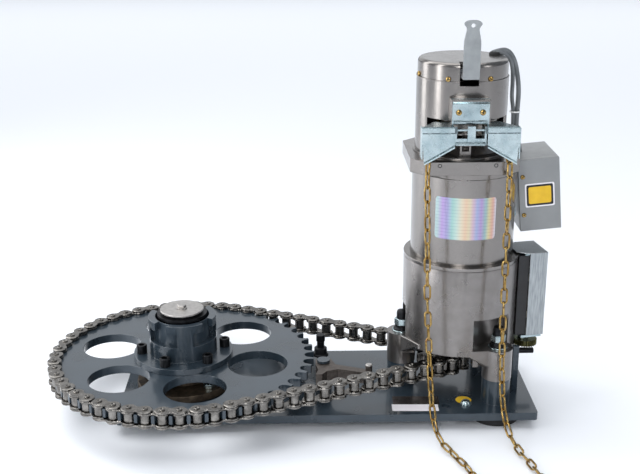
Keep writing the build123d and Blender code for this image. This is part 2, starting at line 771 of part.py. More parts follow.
def guide(side):
    """One folded guide: a front plate with a sloping lower edge, a top flange and an outer flange."""
    inner, outer = top_x + side * guide_inner_x, top_x + side * guide_outer_x
    front = [(inner, guide_top), (outer, guide_top), (outer - side * 2.5, guide_top - guide_outer_drop),
             (inner, guide_top - guide_inner_drop)]
    body = front_prism(front, guide_y, guide_y + guide_t)
    back = -upper_r + 6
    top = [(inner, guide_y), (outer, guide_y), (outer, guide_y + 5), (outer - side * 14, back), (inner, back)]
    body += prism(top, guide_top - guide_t, guide_top)
    edge = outer - side * guide_t
    body += prism([(edge, guide_y), (outer, guide_y), (outer, guide_y + 12), (edge, guide_y + 12)],
                  guide_top - guide_outer_drop + 4, guide_top)
    return body - housing_space


save("chain_guides", guide(-1), guide(1))


def guide_saddle():
    """The piece between the guides, with two windows, two cheeks and a rolled lower edge."""
    half = guide_inner_x - 0.4
    low, high = guide_top - guide_inner_drop, guide_top - 2
    front = guide_y + 4
    body = slab(top_x - half, top_x + half, front, front + guide_t, low, high)
    for x0 in (-half + 2, 2):
        body -= slab(top_x + x0, top_x + x0 + half - 4, front - 1, front + guide_t + 1, low + 6, high - 1.5)
    for x0 in (-half, half - guide_t):
        body += slab(top_x + x0, top_x + x0 + guide_t, front, -upper_r + 4, low, high)
    bead = Pos(top_x, guide_y + 7.5, low + 2.6) * Rot(0, 90, 0) * Cylinder(2.6, 2 * half - 4)
    return body + bead - housing_space


def guide_bracket():
    """A folded bracket on the housing wall, with a rolled bar along its lower edge."""
    shelf_z = guide_top + bracket_rise
    body = slab(top_x - bracket_plate_half, top_x + bracket_plate_half, bracket_y, bracket_y + guide_t,
                guide_top + 5.5, shelf_z)
    body += slab(top_x - bracket_half, top_x + bracket_half, bracket_y, -30, shelf_z, shelf_z + guide_t)
    lip_y = bracket_y + 4.5
    body += slab(top_x - bracket_half, top_x + bracket_half, lip_y, lip_y + guide_t, shelf_z, shelf_z + 5.4)
    for x in (top_x - 16.2, top_x + 16.2):
        body += slab(x - 0.7, x + 0.7, bracket_y, -30, guide_top, shelf_z + 1)
    bar = Rot(0, 90, 0) * Cylinder(2.3, 2 * bracket_plate_half)
    return body + Pos(top_x, bracket_y + 1.5, guide_top + 3.6) * bar - housing_space


save("guide_bracket", guide_saddle(), guide_bracket())
guide_screws = [Pos(top_x + x, bracket_y, guide_top + 12.3) * Rot(90, 0, 0)
                * Cylinder(2.7, 2, align=(Align.CENTER, Align.CENTER, Align.MIN)) for x in (-10.6, 10.6)]

# Release lever: a strap with a forked head, turned in at the foot, on a cross pin in the cap


pivot_z = lever_foot_z + lever_pivot_rise


def release_lever():
    """The strap, waisted under its head, with a foot turned in to the lug on the cross pin."""
    w = lever_w / 2
    right = [(w, lever_foot_z), (w, lever_top - 21), (w - 1.8, lever_top - 14.5), (w - 2.2, lever_top - 9.5),
             (w + 0.4, lever_top - 6.5), (w + 0.2, lever_top - 3), (w - 4, lever_top)]
    left = [(-x, z) for x, z in reversed(right)]
    front, back = lever_y - lever_t / 2, lever_y + lever_t / 2
    strap = front_prism([(top_x + x, z) for x, z in right + left], front, back)
    strap -= Pos(top_x, lever_y, lever_top - 4.4) * Rot(90, 0, 0) * Cylinder(2.15, 4 * lever_t)
    left_x, right_x = top_x - w, top_x + w
    foot = slab(left_x, right_x, front, lever_pivot_y + 3, lever_foot_z, lever_foot_z + lever_t)
    lug = slab(left_x, right_x, lever_pivot_y - 3, lever_pivot_y + 3, lever_foot_z - 2, lever_foot_z + 5)
    bore = Pos(top_x, lever_pivot_y, pivot_z) * Rot(0, 90, 0) * Cylinder(lever_pin_r + run_gap, 2 * lever_w)
    return strap + foot + lug - bore


save("release_lever", release_lever())
pin_half = sqrt((cap_r - cap_skin) ** 2 - (abs(lever_pivot_y) + lever_pin_r) ** 2) - 0.1
save("lever_pivot_pin",
     Pos(top_x, lever_pivot_y, pivot_z) * Rot(0, 90, 0) * Cylinder(lever_pin_r, 2 * pin_half))

# Limit unit: frame, switch block, spindle with its gear, two travelling nuts, sheet cover

limit_at = Pos(limit_x, limit_y, 0) * Rot(0, 0, side_turn)
limit_floor = limit_bottom - 2.5
limit_roof = limit_top - sheet_t
cover_right = limit_right + 1.5
cover_front = limit_front - 1.5
gear_top = limit_gear_z + limit_gear_h


def limit_frame():
    """A sheet folded to a floor, a back and a roof, bored for the spindle."""
    body = slab(limit_left, limit_right, limit_front, limit_back, limit_floor, limit_bottom)
    body += slab(limit_left, limit_right, limit_back - sheet_t, limit_back, limit_bottom, limit_roof)
    body += slab(limit_left, limit_right, limit_front, limit_back, limit_roof - sheet_t, limit_roof)
    return body - rod(0, 0, 0, through, limit_spindle_r + run_gap)


def limit_cover():
    """A folded cover over the front, the right side and the top, open on the left."""
    body = slab(-1.8, cover_right, cover_front, cover_front + sheet_t, limit_bottom, limit_top)
    body += slab(cover_right - sheet_t, cover_right, cover_front, limit_back, limit_bottom, limit_top)
    roof = [(-13.5, -4), (-1.8, cover_front), (cover_right - 3.5, cover_front),
            (cover_right, cover_front + 5), (cover_right, limit_back), (-5, limit_back), (-13.5, 12)]
    return body + prism(roof, limit_roof, limit_top)


def limit_switches():
    """The row of switches along the open side, as one block."""
    return slab(-13, -1.9, limit_front, limit_front + 4.3, limit_bottom + 1, limit_roof - sheet_t - seat_gap)


def limit_nut_at(z):
    """A square travelling nut on the spindle, its underside at z."""
    half = limit_nut / 2
    bore = rod(0, 0, 0, through, limit_spindle_r + 0.08)
    return limit_at * (slab(-half, half, -half, half, z, z + limit_nut_h) - bore)


save("limit_frame", limit_at * limit_frame(),
     ring(limit_x, limit_y, gear_top + seat_gap, limit_floor, 5, limit_spindle_r + run_gap))
save("limit_cover", limit_at * limit_cover())
save("limit_switches", limit_at * limit_switches())
save("limit_gear", gear(limit_x, limit_y, limit_teeth, limit_module, limit_gear_z, gear_top, pi)
     - rod(limit_x, limit_y, 0, through, limit_spindle_r + fit_gap))
save("limit_spindle", rod(limit_x, limit_y, limit_gear_z - 1.5, limit_roof - 0.4, limit_spindle_r))
pinion_top = gear_top - 1.2
save("limit_pinion",
     gear(*limit_pinion_at, limit_pinion_teeth, limit_module, limit_gear_z, pinion_top,
          pi / limit_pinion_teeth)
     + rod(*limit_pinion_at, pinion_top, case_bottom + 12, limit_pinion_shaft_r))
save("limit_nut_lower", limit_nut_at(limit_nut_lower_z))
save("limit_nut_upper", limit_nut_at(limit_nut_upper_z))

# Control box: a folded body and a front cover, on a wedge-shaped bracket

box_at = Pos(*box_corner) * Rot(0, 0, side_turn) * Rot(0, -box_lean, 0)


def control_box_body():
    """A folded tray, open towards its cover in front."""
    s = box_sheet
    return slab(0, box_w, s, box_d, -box_h, 0) - slab(s, box_w - s, s - 1, box_d - s, -box_h + s, -s)


def control_box_bracket():
    """A wedge between the motor tube and the side of the box."""
    block = slab(motor_x + 35, box_corner[0] + 12.4, 12, 34, box_corner[2] - 59, box_corner[2] - 15)
    tube_space = rod(motor_x, 0, case_top, tube_top, tube_r + fit_gap)
    box_space = box_at * slab(-fit_gap, box_w + 20, -10, box_d + 10, -box_h - 20, 10)
    return block - tube_space - box_space


save("control_box", box_at * control_box_body())
save("control_box_cover", box_at * slab(0, box_w, 0, box_sheet, -box_h, 0))
box_screws = [box_at * Pos(x, 0, z) * Rot(90, 0, 0)
              * Cylinder(2.2, 1.6, align=(Align.CENTER, Align.CENTER, Align.MIN))
              for x in (box_screw_inset, box_w - box_screw_inset) for z in (-17, -box_h + 17)]
save("cover_screws", *cap_screws, *guide_screws, *box_screws)
save("control_box_bracket", control_box_bracket())

# Cables from the cap to the control box, with the grommet and the tie that hold them

grommet_at = (161, 11)
grommet_top = cap_top + 2.5
save("cable_grommet", rod(*grommet_at, cap_top, grommet_top, 5))
cable_r = 2.6
outer_cable = [
    (158.2, 11, grommet_top), (158.2, 11, 353), (166, 16, 359), (177, 21, 352), (183, 25, 335),
    (185, 27, 312), (186, 28, 285), (191, 29, 262), (198, 31, 251), (198, 31, 243),
]
inner_cable = [
    (163.9, 11, grommet_top), (163.9, 11, 349), (168, 19, 352), (173.5, 25.5, 347), (178, 30, 333),
    (179.5, 32, 312), (180.5, 34, 285), (184, 38, 262), (191, 41, 251), (191, 41, 243),
]
save("cables", cord(outer_cable, cable_r), cord(inner_cable, cable_r))

# Safety pawl: a cast arm with a hook for the chain wheel and a roller that rides on the chain


def safety_pawl():
    """The cast arm, bored for its pin, with the roller on its long end."""
    arm = [(-7.5, 8), (7.5, 8), (12, -6), (40, -17), (47, -20), (45, -26.5), (34, -24),
           (14, -17), (3, -21), (-2, -28.5), (-8.2, -28.4), (-5.5, -18), (-8, -6)]
    body = prism(arm, pawl_bottom, pawl_top) - rod(0, 0, 0, through, pawl_pin_r + run_gap)
    return Pos(pawl_x, pawl_y, 0) * (body + rod(44.3, -22.4, pawl_top, pawl_top + 6, 3.4))


def pawl_pivot_block():
    """The block on the plate with the pin that the pawl turns on."""
    block_top = pawl_bottom - pawl_gap
    body = slab(-8, 8, -9, 9, plate_t, block_top) + rod(0, 0, block_top, pawl_top + 3, pawl_pin_r)
    return Pos(pawl_x, pawl_y, 0) * (body + rod(0, 0, pawl_top + pawl_gap, pawl_top + 3, 6.5))


save("safety_pawl", safety_pawl())
save("pawl_pivot_block", pawl_pivot_block())
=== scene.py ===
import json
from math import asin, cos, pi, radians, sin

import bmesh
import bpy
import numpy as np
from mathutils import Matrix, Vector


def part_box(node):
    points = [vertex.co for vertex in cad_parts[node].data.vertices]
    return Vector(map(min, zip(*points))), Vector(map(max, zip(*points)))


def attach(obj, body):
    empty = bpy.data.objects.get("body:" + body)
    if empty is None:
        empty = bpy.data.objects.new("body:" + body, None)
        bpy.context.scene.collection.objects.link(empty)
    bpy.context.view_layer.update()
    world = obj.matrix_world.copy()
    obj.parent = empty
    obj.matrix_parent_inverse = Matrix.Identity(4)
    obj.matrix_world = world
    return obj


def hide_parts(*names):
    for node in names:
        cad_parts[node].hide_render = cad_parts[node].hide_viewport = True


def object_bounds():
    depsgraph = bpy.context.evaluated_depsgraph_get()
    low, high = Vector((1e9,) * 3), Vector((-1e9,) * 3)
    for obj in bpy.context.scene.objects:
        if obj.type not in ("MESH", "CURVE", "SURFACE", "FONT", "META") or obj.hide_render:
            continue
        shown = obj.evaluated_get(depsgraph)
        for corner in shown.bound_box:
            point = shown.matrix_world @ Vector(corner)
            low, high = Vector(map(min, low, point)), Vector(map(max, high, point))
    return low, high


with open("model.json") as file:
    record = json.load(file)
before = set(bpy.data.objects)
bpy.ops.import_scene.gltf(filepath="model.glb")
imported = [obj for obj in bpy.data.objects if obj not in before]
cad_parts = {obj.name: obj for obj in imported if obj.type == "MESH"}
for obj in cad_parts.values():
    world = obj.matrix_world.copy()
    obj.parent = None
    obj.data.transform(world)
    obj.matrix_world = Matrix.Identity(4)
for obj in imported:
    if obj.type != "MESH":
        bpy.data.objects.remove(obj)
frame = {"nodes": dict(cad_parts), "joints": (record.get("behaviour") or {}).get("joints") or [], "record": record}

cad_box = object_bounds()

# Base plate
# A flat steel plate with three welded posts, and upright pieces bolted on it, all sprayed in one dark
# enamel. It stands on four moulded rubber pads.

nodes = frame["nodes"]
body_of_node = {n: body for body, names in frame["record"]["behaviour"]["bodies"].items() for n in names}


def linear(code):
    """A hex sRGB colour as linear RGBA."""
    values = [int(code[i:i + 2], 16) / 255 for i in (1, 3, 5)]
    return [v / 12.92 if v <= 0.04045 else ((v + 0.055) / 1.055) ** 2.4 for v in values] + [1.0]


def add_node(tree, kind, sockets=(), **settings):
    """Adds a node with its settings. A socket's value is a number, a colour or another node's output."""
    node = tree.nodes.new(kind)
    for name, value in settings.items():
        setattr(node, name, value)
    for name, value in dict(sockets).items():
        if isinstance(value, bpy.types.NodeSocket):
            tree.links.new(value, node.inputs[name])
        else:
            node.inputs[name].default_value = value
    return node


def new_material(name, **plain):
    """A material with a Principled shader whose plain sockets are set. Returns (material, tree, shader)."""
    material = bpy.data.materials.new(name)
    material.use_nodes = True
    tree = material.node_tree
    shader = tree.nodes["Principled BSDF"]
    for socket, value in plain.items():
        shader.inputs[socket.replace("_", " ")].default_value = value
    return material, tree, shader


def noise(tree, size_mm, detail=3.0, stretch=(1, 1, 1)):
    """A noise pattern on Object coordinates with features of about size_mm, as its factor output."""
    place = add_node(tree, "ShaderNodeTexCoord")
    mapping = add_node(tree, "ShaderNodeMapping", {"Vector": place.outputs["Object"], "Scale": stretch})
    return add_node(tree, "ShaderNodeTexNoise", {"Vector": mapping.outputs["Vector"], "Scale": 1000 / size_mm,
                                                 "Detail": detail}).outputs["Fac"]


def ramp(tree, factor, stops):
    """A colour ramp over a factor, with stops as (place, hex colour)."""
    node = add_node(tree, "ShaderNodeValToRGB", {"Fac": factor})
    elements = node.color_ramp.elements
    while len(elements) < len(stops):
        elements.new(0.5)
    for element, (place, code) in zip(elements, stops):
        element.position = place
        element.color = linear(code)
    return node.outputs["Color"]


def colour(tree, shader, factor, stops):
    """Lets the shader's colour follow a factor, with stops as (place, hex colour)."""
    tree.links.new(ramp(tree, factor, stops), shader.inputs["Base Color"])


def roughen(tree, shader, factor, low, high):
    """Lets the shader's roughness run from low to high with a factor."""
    node = add_node(tree, "ShaderNodeMapRange", {"Value": factor, "From Min": 0.3, "From Max": 0.7,
                                                 "To Min": low, "To Max": high})
    tree.links.new(node.outputs["Result"], shader.inputs["Roughness"])


def bump(tree, shader, factor, height_mm, strength=1.0):
    """Gives the shader a bump of that height from a factor."""
    node = add_node(tree, "ShaderNodeBump", {"Height": factor, "Distance": height_mm / 1000,
                                             "Strength": strength})
    tree.links.new(node.outputs["Normal"], shader.inputs["Normal"])


def blue_grey_enamel():
    """Gloss enamel sprayed on plate: a clear highlight, broken by dust and a slight orange peel."""
    material, tree, shader = new_material("dark blue grey enamel", Metallic=0.3, Coat_Weight=0.6,
                                          Coat_Roughness=0.1)
    dust = noise(tree, 38, 4)
    colour(tree, shader, dust, [(0.35, "#2a353e"), (0.62, "#333f49")])
    roughen(tree, shader, dust, 0.24, 0.36)
    bump(tree, shader, noise(tree, 2.2), 0.02)
    return material


def plain(name, dark, light, metallic, roughness, size_mm):
    """A plain finish that varies a little between two colours."""
    material, tree, shader = new_material(name, Metallic=metallic, Roughness=roughness)
    colour(tree, shader, noise(tree, size_mm), [(0.3, dark), (0.7, light)])
    return material


def new_mesh(name, points, faces):
    """A mesh from points in metres and faces."""
    mesh = bpy.data.meshes.new(name)
    mesh.from_pydata(np.asarray(points, dtype=float).tolist(), [], [[int(i) for i in f] for f in faces])
    return mesh


def new_object(name, data):
    """An object of that name and data in the scene."""
    made = bpy.data.objects.new(name, data)
    bpy.context.scene.collection.objects.link(made)
    return made


def round_edges(piece, edge_mm):
    """Rounds a piece's sharp edges by that much."""
    edge = piece.modifiers.new("edge", "BEVEL")
    edge.width = edge_mm / 1000
    edge.segments = 2
    edge.limit_method = "ANGLE"
    edge.angle_limit = radians(36)
    edge.harden_normals = True
    piece.data.shade_smooth()
    piece.data.set_sharp_from_angle(angle=radians(33))
    return piece


def cut(piece, tools):
    """Takes closed shapes, each of points in metres and faces, out of a piece's mesh for good."""
    helpers = []
    for points, faces in tools:
        helper = new_object("tool", new_mesh("tool", points, faces))
        step = piece.modifiers.new("cut", "BOOLEAN")
        step.object, step.operation, step.solver = helper, "DIFFERENCE", "EXACT"
        helpers.append(helper)
    bpy.context.view_layer.update()
    shaped = bpy.data.meshes.new_from_object(piece.evaluated_get(bpy.context.evaluated_depsgraph_get()))
    piece.modifiers.clear()
    piece.data = shaped
    for helper in helpers:
        bpy.data.objects.remove(helper)


def softened(node, edge_mm, tools=(), shift_mm=(0, 0, 0)):
    """A copy of a CAD part in its place, its triangles merged and its edges rounded by that much.

    It's moved by shift_mm first, and the tools are cut out of it before its edges are rounded.
    """
    mesh = nodes[node].data.copy()
    work = bmesh.new()
    work.from_mesh(mesh)
    bmesh.ops.remove_doubles(work, verts=work.verts, dist=2e-6)
    bmesh.ops.dissolve_limit(work, angle_limit=radians(0.4), verts=work.verts, edges=work.edges)
    bmesh.ops.translate(work, vec=Vector(shift_mm) / 1000, verts=work.verts)
    work.to_mesh(mesh)
    work.free()
    piece = new_object(node + "_finish", mesh)
    if tools:
        cut(piece, tools)
    round_edges(piece, edge_mm)
    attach(piece, body_of_node[node])
    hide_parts(node)
    return piece


def finish(material, names, edge_mm=None):
    """Gives CAD parts their material and, where edge_mm is given, rounds their edges by that much."""
    for name in names.split():
        data = nodes[name].data
        data.materials.clear()
        data.materials.append(material)
        if edge_mm:
            softened(name, edge_mm)


enamel = blue_grey_enamel()
rubber = plain("black rubber", "#101011", "#1b1b1c", 0.0, 0.7, 5)
finish(enamel, "base_plate tension_bracket", 0.3)
finish(enamel, "pawl_pivot_block", 0.5)
finish(rubber, "rubber_pads", 1.0)

# Plate screws
# Zinc-plated: four flange bolts under the wheel and the domed earth screw beside its disc, turned or
# forged and driven into the plate.

wheel_x = -145


def bright_zinc():
    """Bright zinc plate: a clear mirror with a faint blue tint and clouds of 16 mm."""
    material, tree, shader = new_material("bright zinc plate", Metallic=1.0)
    colour(tree, shader, noise(tree, 16, 3), [(0.32, "#9dafb4"), (0.68, "#bccacd")])
    roughen(tree, shader, noise(tree, 5), 0.2, 0.32)
    bump(tree, shader, noise(tree, 9), 0.01)
    return material


def mesh_piece(name, points, faces, material, body, smooth=True):
    """A new piece from points in metres and faces, riding on a body."""
    data = new_mesh(name, points, faces)
    data.materials.append(material)
    data.update()
    piece = new_object(name, data)
    if smooth:
        data.shade_smooth()
    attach(piece, body)
    return piece


def sections_part(sections_mm):
    """A closed solid through a row of sections with equally many points in millimetres, ends included.

    Point (r, i) of the grid is point i of section r. A face joins it and its neighbour i + 1 to the same two
    points of section r + 1, and the first and last sections are faces themselves.
    """
    grid = np.asarray(sections_mm, dtype=float) / 1000
    count, around = grid.shape[:2]
    r, i = np.meshgrid(np.arange(count - 1), np.arange(around), indexing="ij")
    n = (i + 1) % around
    sides = np.stack([r * around + i, r * around + n, (r + 1) * around + n, (r + 1) * around + i], -1)
    first, last = np.arange(around)[::-1], np.arange(around) + (count - 1) * around
    return grid.reshape(-1, 3), [first, last, *sides.reshape(-1, 4)]


def lathe(profile_mm, sides):
    """A solid of revolution: (r cos t, r sin t, z) for each (r, z) of the profile and each turn t about Z."""
    r, z = np.array(profile_mm, dtype=float).T[..., None]
    t = np.arange(sides) * 2 * pi / sides
    return sections_part(np.stack([r * np.cos(t), r * np.sin(t), z + 0 * t], -1))


def hexagon_part(flats, low, high, chamfer=0.5):
    """A hexagon nut or head about Z with its corners turned off, in millimetres."""
    corner = flats / 2 / cos(pi / 6)
    inner, slant = corner - chamfer, chamfer * 0.6
    return lathe([(inner, low), (corner, low + slant), (corner, high - slant), (inner, high)], 6)


def moved(part, x=0, y=0, z=0, turn=None):
    """A part turned by a matrix if one is given, and then moved by millimetres."""
    points, faces = part
    if turn is not None:
        points = points @ np.array(turn.to_3x3()).T
    return points + np.array((x, y, z)) / 1000, faces


def join(parts):
    """Several (points, faces) as one."""
    points, faces, start = [], [], 0
    for some_points, some_faces in parts:
        points.append(np.asarray(some_points))
        faces += [tuple(int(i) + start for i in f) for f in some_faces]
        start += len(some_points)
    return np.concatenate(points), faces


def fitted(name, parts, material, body, node=None, edge_mm=0.3):
    """A piece joined from parts, with rounded edges, and the node that it replaces if any."""
    piece = mesh_piece(name, *join(parts), material, body)
    round_edges(piece, edge_mm)
    if node:
        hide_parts(node)
    return piece


zinc = bright_zinc()
finish(zinc, "plate_screws")
bolt_turns = radians(45) + np.arange(4) * pi / 2
plate_screws = [moved(hexagon_part(10, 16, 20.9), wheel_x + 38 * cos(a), 38 * sin(a)) for a in bolt_turns]
dome = lathe([(5.6, 8), (5.6, 9.0), (4.9, 9.2), (4.7, 10.2), (3.8, 11.6), (2.2, 12.5), (0.3, 12.8)], 28)
plate_screws.append(moved(dome, 137.3, -54.6))
fitted("flange_bolts", plate_screws, zinc, "motor", "plate_screws", 0.15)

# Fixed axle
# A flanged iron casting under the wheel, left bare and oily, with the steel axle's bearings and their dark
# spacers inside the hub.


def cast_iron():
    """Bare iron casting, brown with old oil, its sand grain of 1.8 mm in full relief."""
    material, tree, shader = new_material("bare cast iron", Metallic=0.6)
    colour(tree, shader, noise(tree, 6, 5), [(0.3, "#3a3128"), (0.7, "#655849")])
    roughen(tree, shader, noise(tree, 4), 0.4, 0.6)
    bump(tree, shader, noise(tree, 1.8, 5), 0.1)
    return material


def oiled_steel():
    """Stamped steel of the chain under oil: darker and glossier where the film is thick."""
    material, tree, shader = new_material("oiled chain steel", Metallic=1.0)
    film = noise(tree, 6, 4)
    colour(tree, shader, film, [(0.3, "#625f5c"), (0.5, "#787571"), (0.72, "#918d88")])
    roughen(tree, shader, film, 0.34, 0.22)
    return material


def dark_steel():
    """Black oxide on turned steel: near black with a soft metal sheen."""
    material, tree, shader = new_material("black oxide steel", Metallic=0.8)
    colour(tree, shader, noise(tree, 4), [(0.3, "#17181a"), (0.7, "#2b2c2f")])
    roughen(tree, shader, noise(tree, 2), 0.3, 0.45)
    return material


finish(cast_iron(), "axle_and_flange", 1.0)
chain_steel = oiled_steel()
finish(chain_steel, "ball_bearings")
black_oxide = dark_steel()
finish(black_oxide, "axle_spacers")

# Chain wheel and hub
# A toothed disc cut from plate and a cast hub, in the base plate's enamel, with a sleeve behind the barrel's
# openings, which the photo shows as pockets. Black socket screws hold the two, and a satin disc with its
# bolt closes the axle.


def turned_ring(section_mm, sides=96):
    """A ring: (r cos t, r sin t, z) for each turn t about Z and each (r, z) of a closed section."""
    r, z = np.array(section_mm, dtype=float).T / 1000
    t = (np.arange(sides) * 2 * pi / sides)[:, None]
    points = np.stack([r * np.cos(t), r * np.sin(t), z + 0 * t], -1)
    n = len(section_mm)
    i, j = np.meshgrid(np.arange(sides), np.arange(n), indexing="ij")
    ni, nj = (i + 1) % sides, (j + 1) % n
    faces = np.stack([i * n + j, ni * n + j, ni * n + nj, i * n + nj], -1)
    return points.reshape(-1, 3), faces.reshape(-1, 4)


def band(inner, outer, low, high):
    """The section of a plain ring, in millimetres."""
    return [(inner, low), (outer, low), (outer, high), (inner, high)]


finish(enamel, "chain_wheel", 0.5)
finish(enamel, "hub_and_barrel", 1.0)
finish(black_oxide, "hub_screws")
satin = plain("satin steel", "#a9a6a3", "#bdbab7", 1.0, 0.38, 4)
finish(satin, "end_disc")
sleeve = turned_ring(band(26.97, 28.0, 61.2, 84.2), 64)
fitted("barrel_sleeve", [moved(sleeve, wheel_x)], enamel, "drum")
screw_top = 1000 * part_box("hub_screws")[1].z
screw_turns = radians(10) + np.arange(6) * pi / 3
head = lathe([(5.2, -9), (5.3, -0.8), (4.7, 0), (3.2, 0), (2.9, -0.4), (2.9, -5), (0.2, -5)], 24)
heads = [moved(head, wheel_x + 42 * cos(a), 42 * sin(a), screw_top) for a in screw_turns]
fitted("hub_screw_heads", heads, black_oxide, "drum", "hub_screws", 0.15)

disc_low, disc_high = (1000 * corner.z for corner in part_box("end_disc"))
plate_high = disc_high - 3.5
disc_parts = [
    lathe([(0.5, -1.8), (21.6, -1.8), (21.8, -1.5), (21.8, -0.4), (21.4, 0), (0.5, 0)], 96),
    lathe([(5.4, 0), (5.4, 0.9), (4.8, 1.1), (1, 1.1)], 32),
    hexagon_part(8, 1.1, 3.5),
]
fitted("end_disc_plate", [moved(part, wheel_x, 0, plate_high) for part in disc_parts], satin, "motor",
       "end_disc", 0.15)
spacer = turned_ring(band(13, 20, disc_low, plate_high - 1.8), 64)
fitted("dark_ring", [moved(spacer, wheel_x)], black_oxide, "motor")

# Shafts and sprocket
# Hardened steel with a film of oil: the output shaft with its sprocket, and the gears above it in the
# housing.

finish(chain_steel, "output_sprocket", 0.5)
finish(chain_steel, "output_shaft countershaft rotor_shaft")

# Roller chain
# Waisted plates, rollers and riveted pin ends of oiled steel in place of the plain links, on the same pins,
# so that the loop follows the two wheels of the frame.

pitch = 0.015875


def chain_pins():
    """Every pin of the loop in metres, one pitch after another, from the near side of the large wheel.

    The loop is the tangents of the two pitch circles and the arcs round both. The pitch circle of a wheel
    of n teeth has the radius pitch / 2 / sin(pi / n). The first pin lies 0.19 of a pitch along the near
    tangent, where the rollers find the teeth.
    """
    wheel_teeth, pinion_teeth, links, first = 51, 9, 66, 0.19
    wheel_at, pinion_at = (frame["joints"][i]["pos_m"][0] for i in (0, 1))
    wheel_r, pinion_r = (pitch / 2 / sin(pi / teeth) for teeth in (wheel_teeth, pinion_teeth))
    slope = asin((wheel_r - pinion_r) / (pinion_at - wheel_at))
    strand = (pinion_at - wheel_at) * cos(slope) / pitch
    on_pinion = (pi - 2 * slope) / (2 * pi / pinion_teeth)
    tangent = slope - pi / 2
    near = np.array([wheel_at + wheel_r * cos(tangent), wheel_r * sin(tangent)])
    far = np.array([pinion_at + pinion_r * cos(tangent), pinion_r * sin(tangent)])
    pins = []
    for s in first + np.arange(links):
        if s < strand:
            pins.append(near + (far - near) * s / strand)
        elif s < strand + on_pinion:
            turn = tangent + (s - strand) * 2 * pi / pinion_teeth
            pins.append(np.array([pinion_at + pinion_r * cos(turn), pinion_r * sin(turn)]))
        elif s < 2 * strand + on_pinion:
            pins.append((far + (near - far) * (s - strand - on_pinion) / strand) * (1, -1))
        else:
            turn = (s - 2 * strand - on_pinion) * 2 * pi / wheel_teeth - tangent
            pins.append(np.array([wheel_at + wheel_r * cos(turn), wheel_r * sin(turn)]))
    return pins


def plate_outline(half_h, waist, arc=13, dip=5):
    """A link plate's outline for pins at (0, 0) and (pitch, 0): two round ends joined by hollow sides.

    Each side is a parabola from one end's arc to the other, at its lowest the height of the waist.
    """
    leave = radians(50)
    turns = np.linspace(leave, 2 * pi - leave, arc)
    left = np.stack([half_h * np.cos(turns), half_h * np.sin(turns)], 1)
    x = np.linspace(left[-1, 0], pitch - left[-1, 0], dip + 2)[1:-1]
    share = (x - pitch / 2) / (pitch / 2 - left[-1, 0])
    lower = np.stack([x, -(waist + (half_h * sin(leave) - waist) * share ** 2)], 1)
    right = left[::-1] * (-1, 1) + (pitch, 0)
    return np.concatenate([left, lower, right, lower[::-1] * (1, -1)])


def extruded(outline, low, high, bevel):
    """An outline made a plate from low to high with a small bevel on both rims."""
    middle = outline.mean(0)
    inner = middle + (outline - middle) * (1 - bevel / 0.0073)
    rings = [(inner, low), (outline, low + bevel), (outline, high - bevel), (inner, high)]
    return sections_part([1000 * np.column_stack([o, np.full(len(o), z)]) for o, z in rings])


def placed(part, p, q, z):
    """A part made along +X, moved to run from pin p to pin q."""
    points, faces = part
    angle = np.arctan2(*(q - p)[::-1])
    turn = np.array([[cos(angle), sin(angle), 0], [-sin(angle), cos(angle), 0], [0, 0, 1]])
    return points @ turn + (p[0], p[1], z), faces


def roller_chain():
    """Inner and outer plates, rollers and pins of the whole loop."""
    plate_t, inner_half, gap = 0.0019, 0.0047, 0.0001
    plate = extruded(plate_outline(0.0072, 0.0040), 0, plate_t, 0.0004)
    roller = lathe([(4.6, -4.6), (5.08, -4.1), (5.08, 4.1), (4.6, 4.6)], 20)
    head = lathe([(2.8, -1), (2.8, 0.6), (2.3, 1.1), (1.6, 1.1), (1.0, 0.5), (0.2, 0.5)], 18)
    tail = (head[0] * (1, 1, -1), [f[::-1] for f in head[1]])
    pin_top = inner_half + 2 * plate_t + gap
    low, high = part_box("roller_chain_outer_plates")
    middle = (low.z + high.z) / 2
    pins = chain_pins()
    parts = []
    for i, p in enumerate(pins):
        q = pins[(i + 1) % len(pins)]
        start = inner_half if i % 2 else inner_half + plate_t + gap
        parts += [placed(plate, p, q, middle + z) for z in (start, -start - plate_t)]
        parts += [placed(roller, p, q, middle), placed(head, p, q, middle + pin_top),
                  placed(tail, p, q, middle - pin_top)]
    return join(parts)


chain = mesh_piece("roller_chain", *roller_chain(), chain_steel, "motor", smooth=False)
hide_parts("roller_chain_inner_links", "roller_chain_outer_plates")

# Gear housing
# A sand casting in silver paint, with its front pocket cut wider towards the left, a machined rim round its
# top and the flared arms that join each foot to the wall.

motor_x = 135


def cast_paint():
    """Silver-grey metallic paint over a sand casting, whose grain of about 1.4 mm spreads the highlights."""
    material, tree, shader = new_material("silver paint on casting", Metallic=0.92, Coat_Weight=0.3,
                                          Coat_Roughness=0.14)
    colour(tree, shader, noise(tree, 14, 3), [(0.3, "#7b7774"), (0.66, "#868280")])
    roughen(tree, shader, noise(tree, 20), 0.26, 0.32)
    bump(tree, shader, noise(tree, 1.4, 2), 0.006)
    return material


def silver_paint():
    """The same paint sprayed on tube: flakes drawn at 0.5 mm, coarser than real, to show."""
    material, tree, shader = new_material("silver grey metallic paint", Metallic=0.92, Coat_Weight=0.3,
                                          Coat_Roughness=0.12)
    colour(tree, shader, noise(tree, 0.5, 2), [(0.36, "#7a7673"), (0.62, "#8a8683")])
    roughen(tree, shader, noise(tree, 12), 0.2, 0.28)
    bump(tree, shader, noise(tree, 1.6), 0.012)
    return material


def box_part(x0, x1, y0, y1, z0, z1):
    """A box from x0, y0, z0 to x1, y1, z1, in millimetres."""
    points = np.array([(x, y, z) for x in (x0, x1) for y in (y0, y1) for z in (z0, z1)]) / 1000
    return points, [(0, 1, 3, 2), (4, 6, 7, 5), (0, 4, 5, 1), (2, 3, 7, 6), (0, 2, 6, 4), (1, 5, 7, 3)]


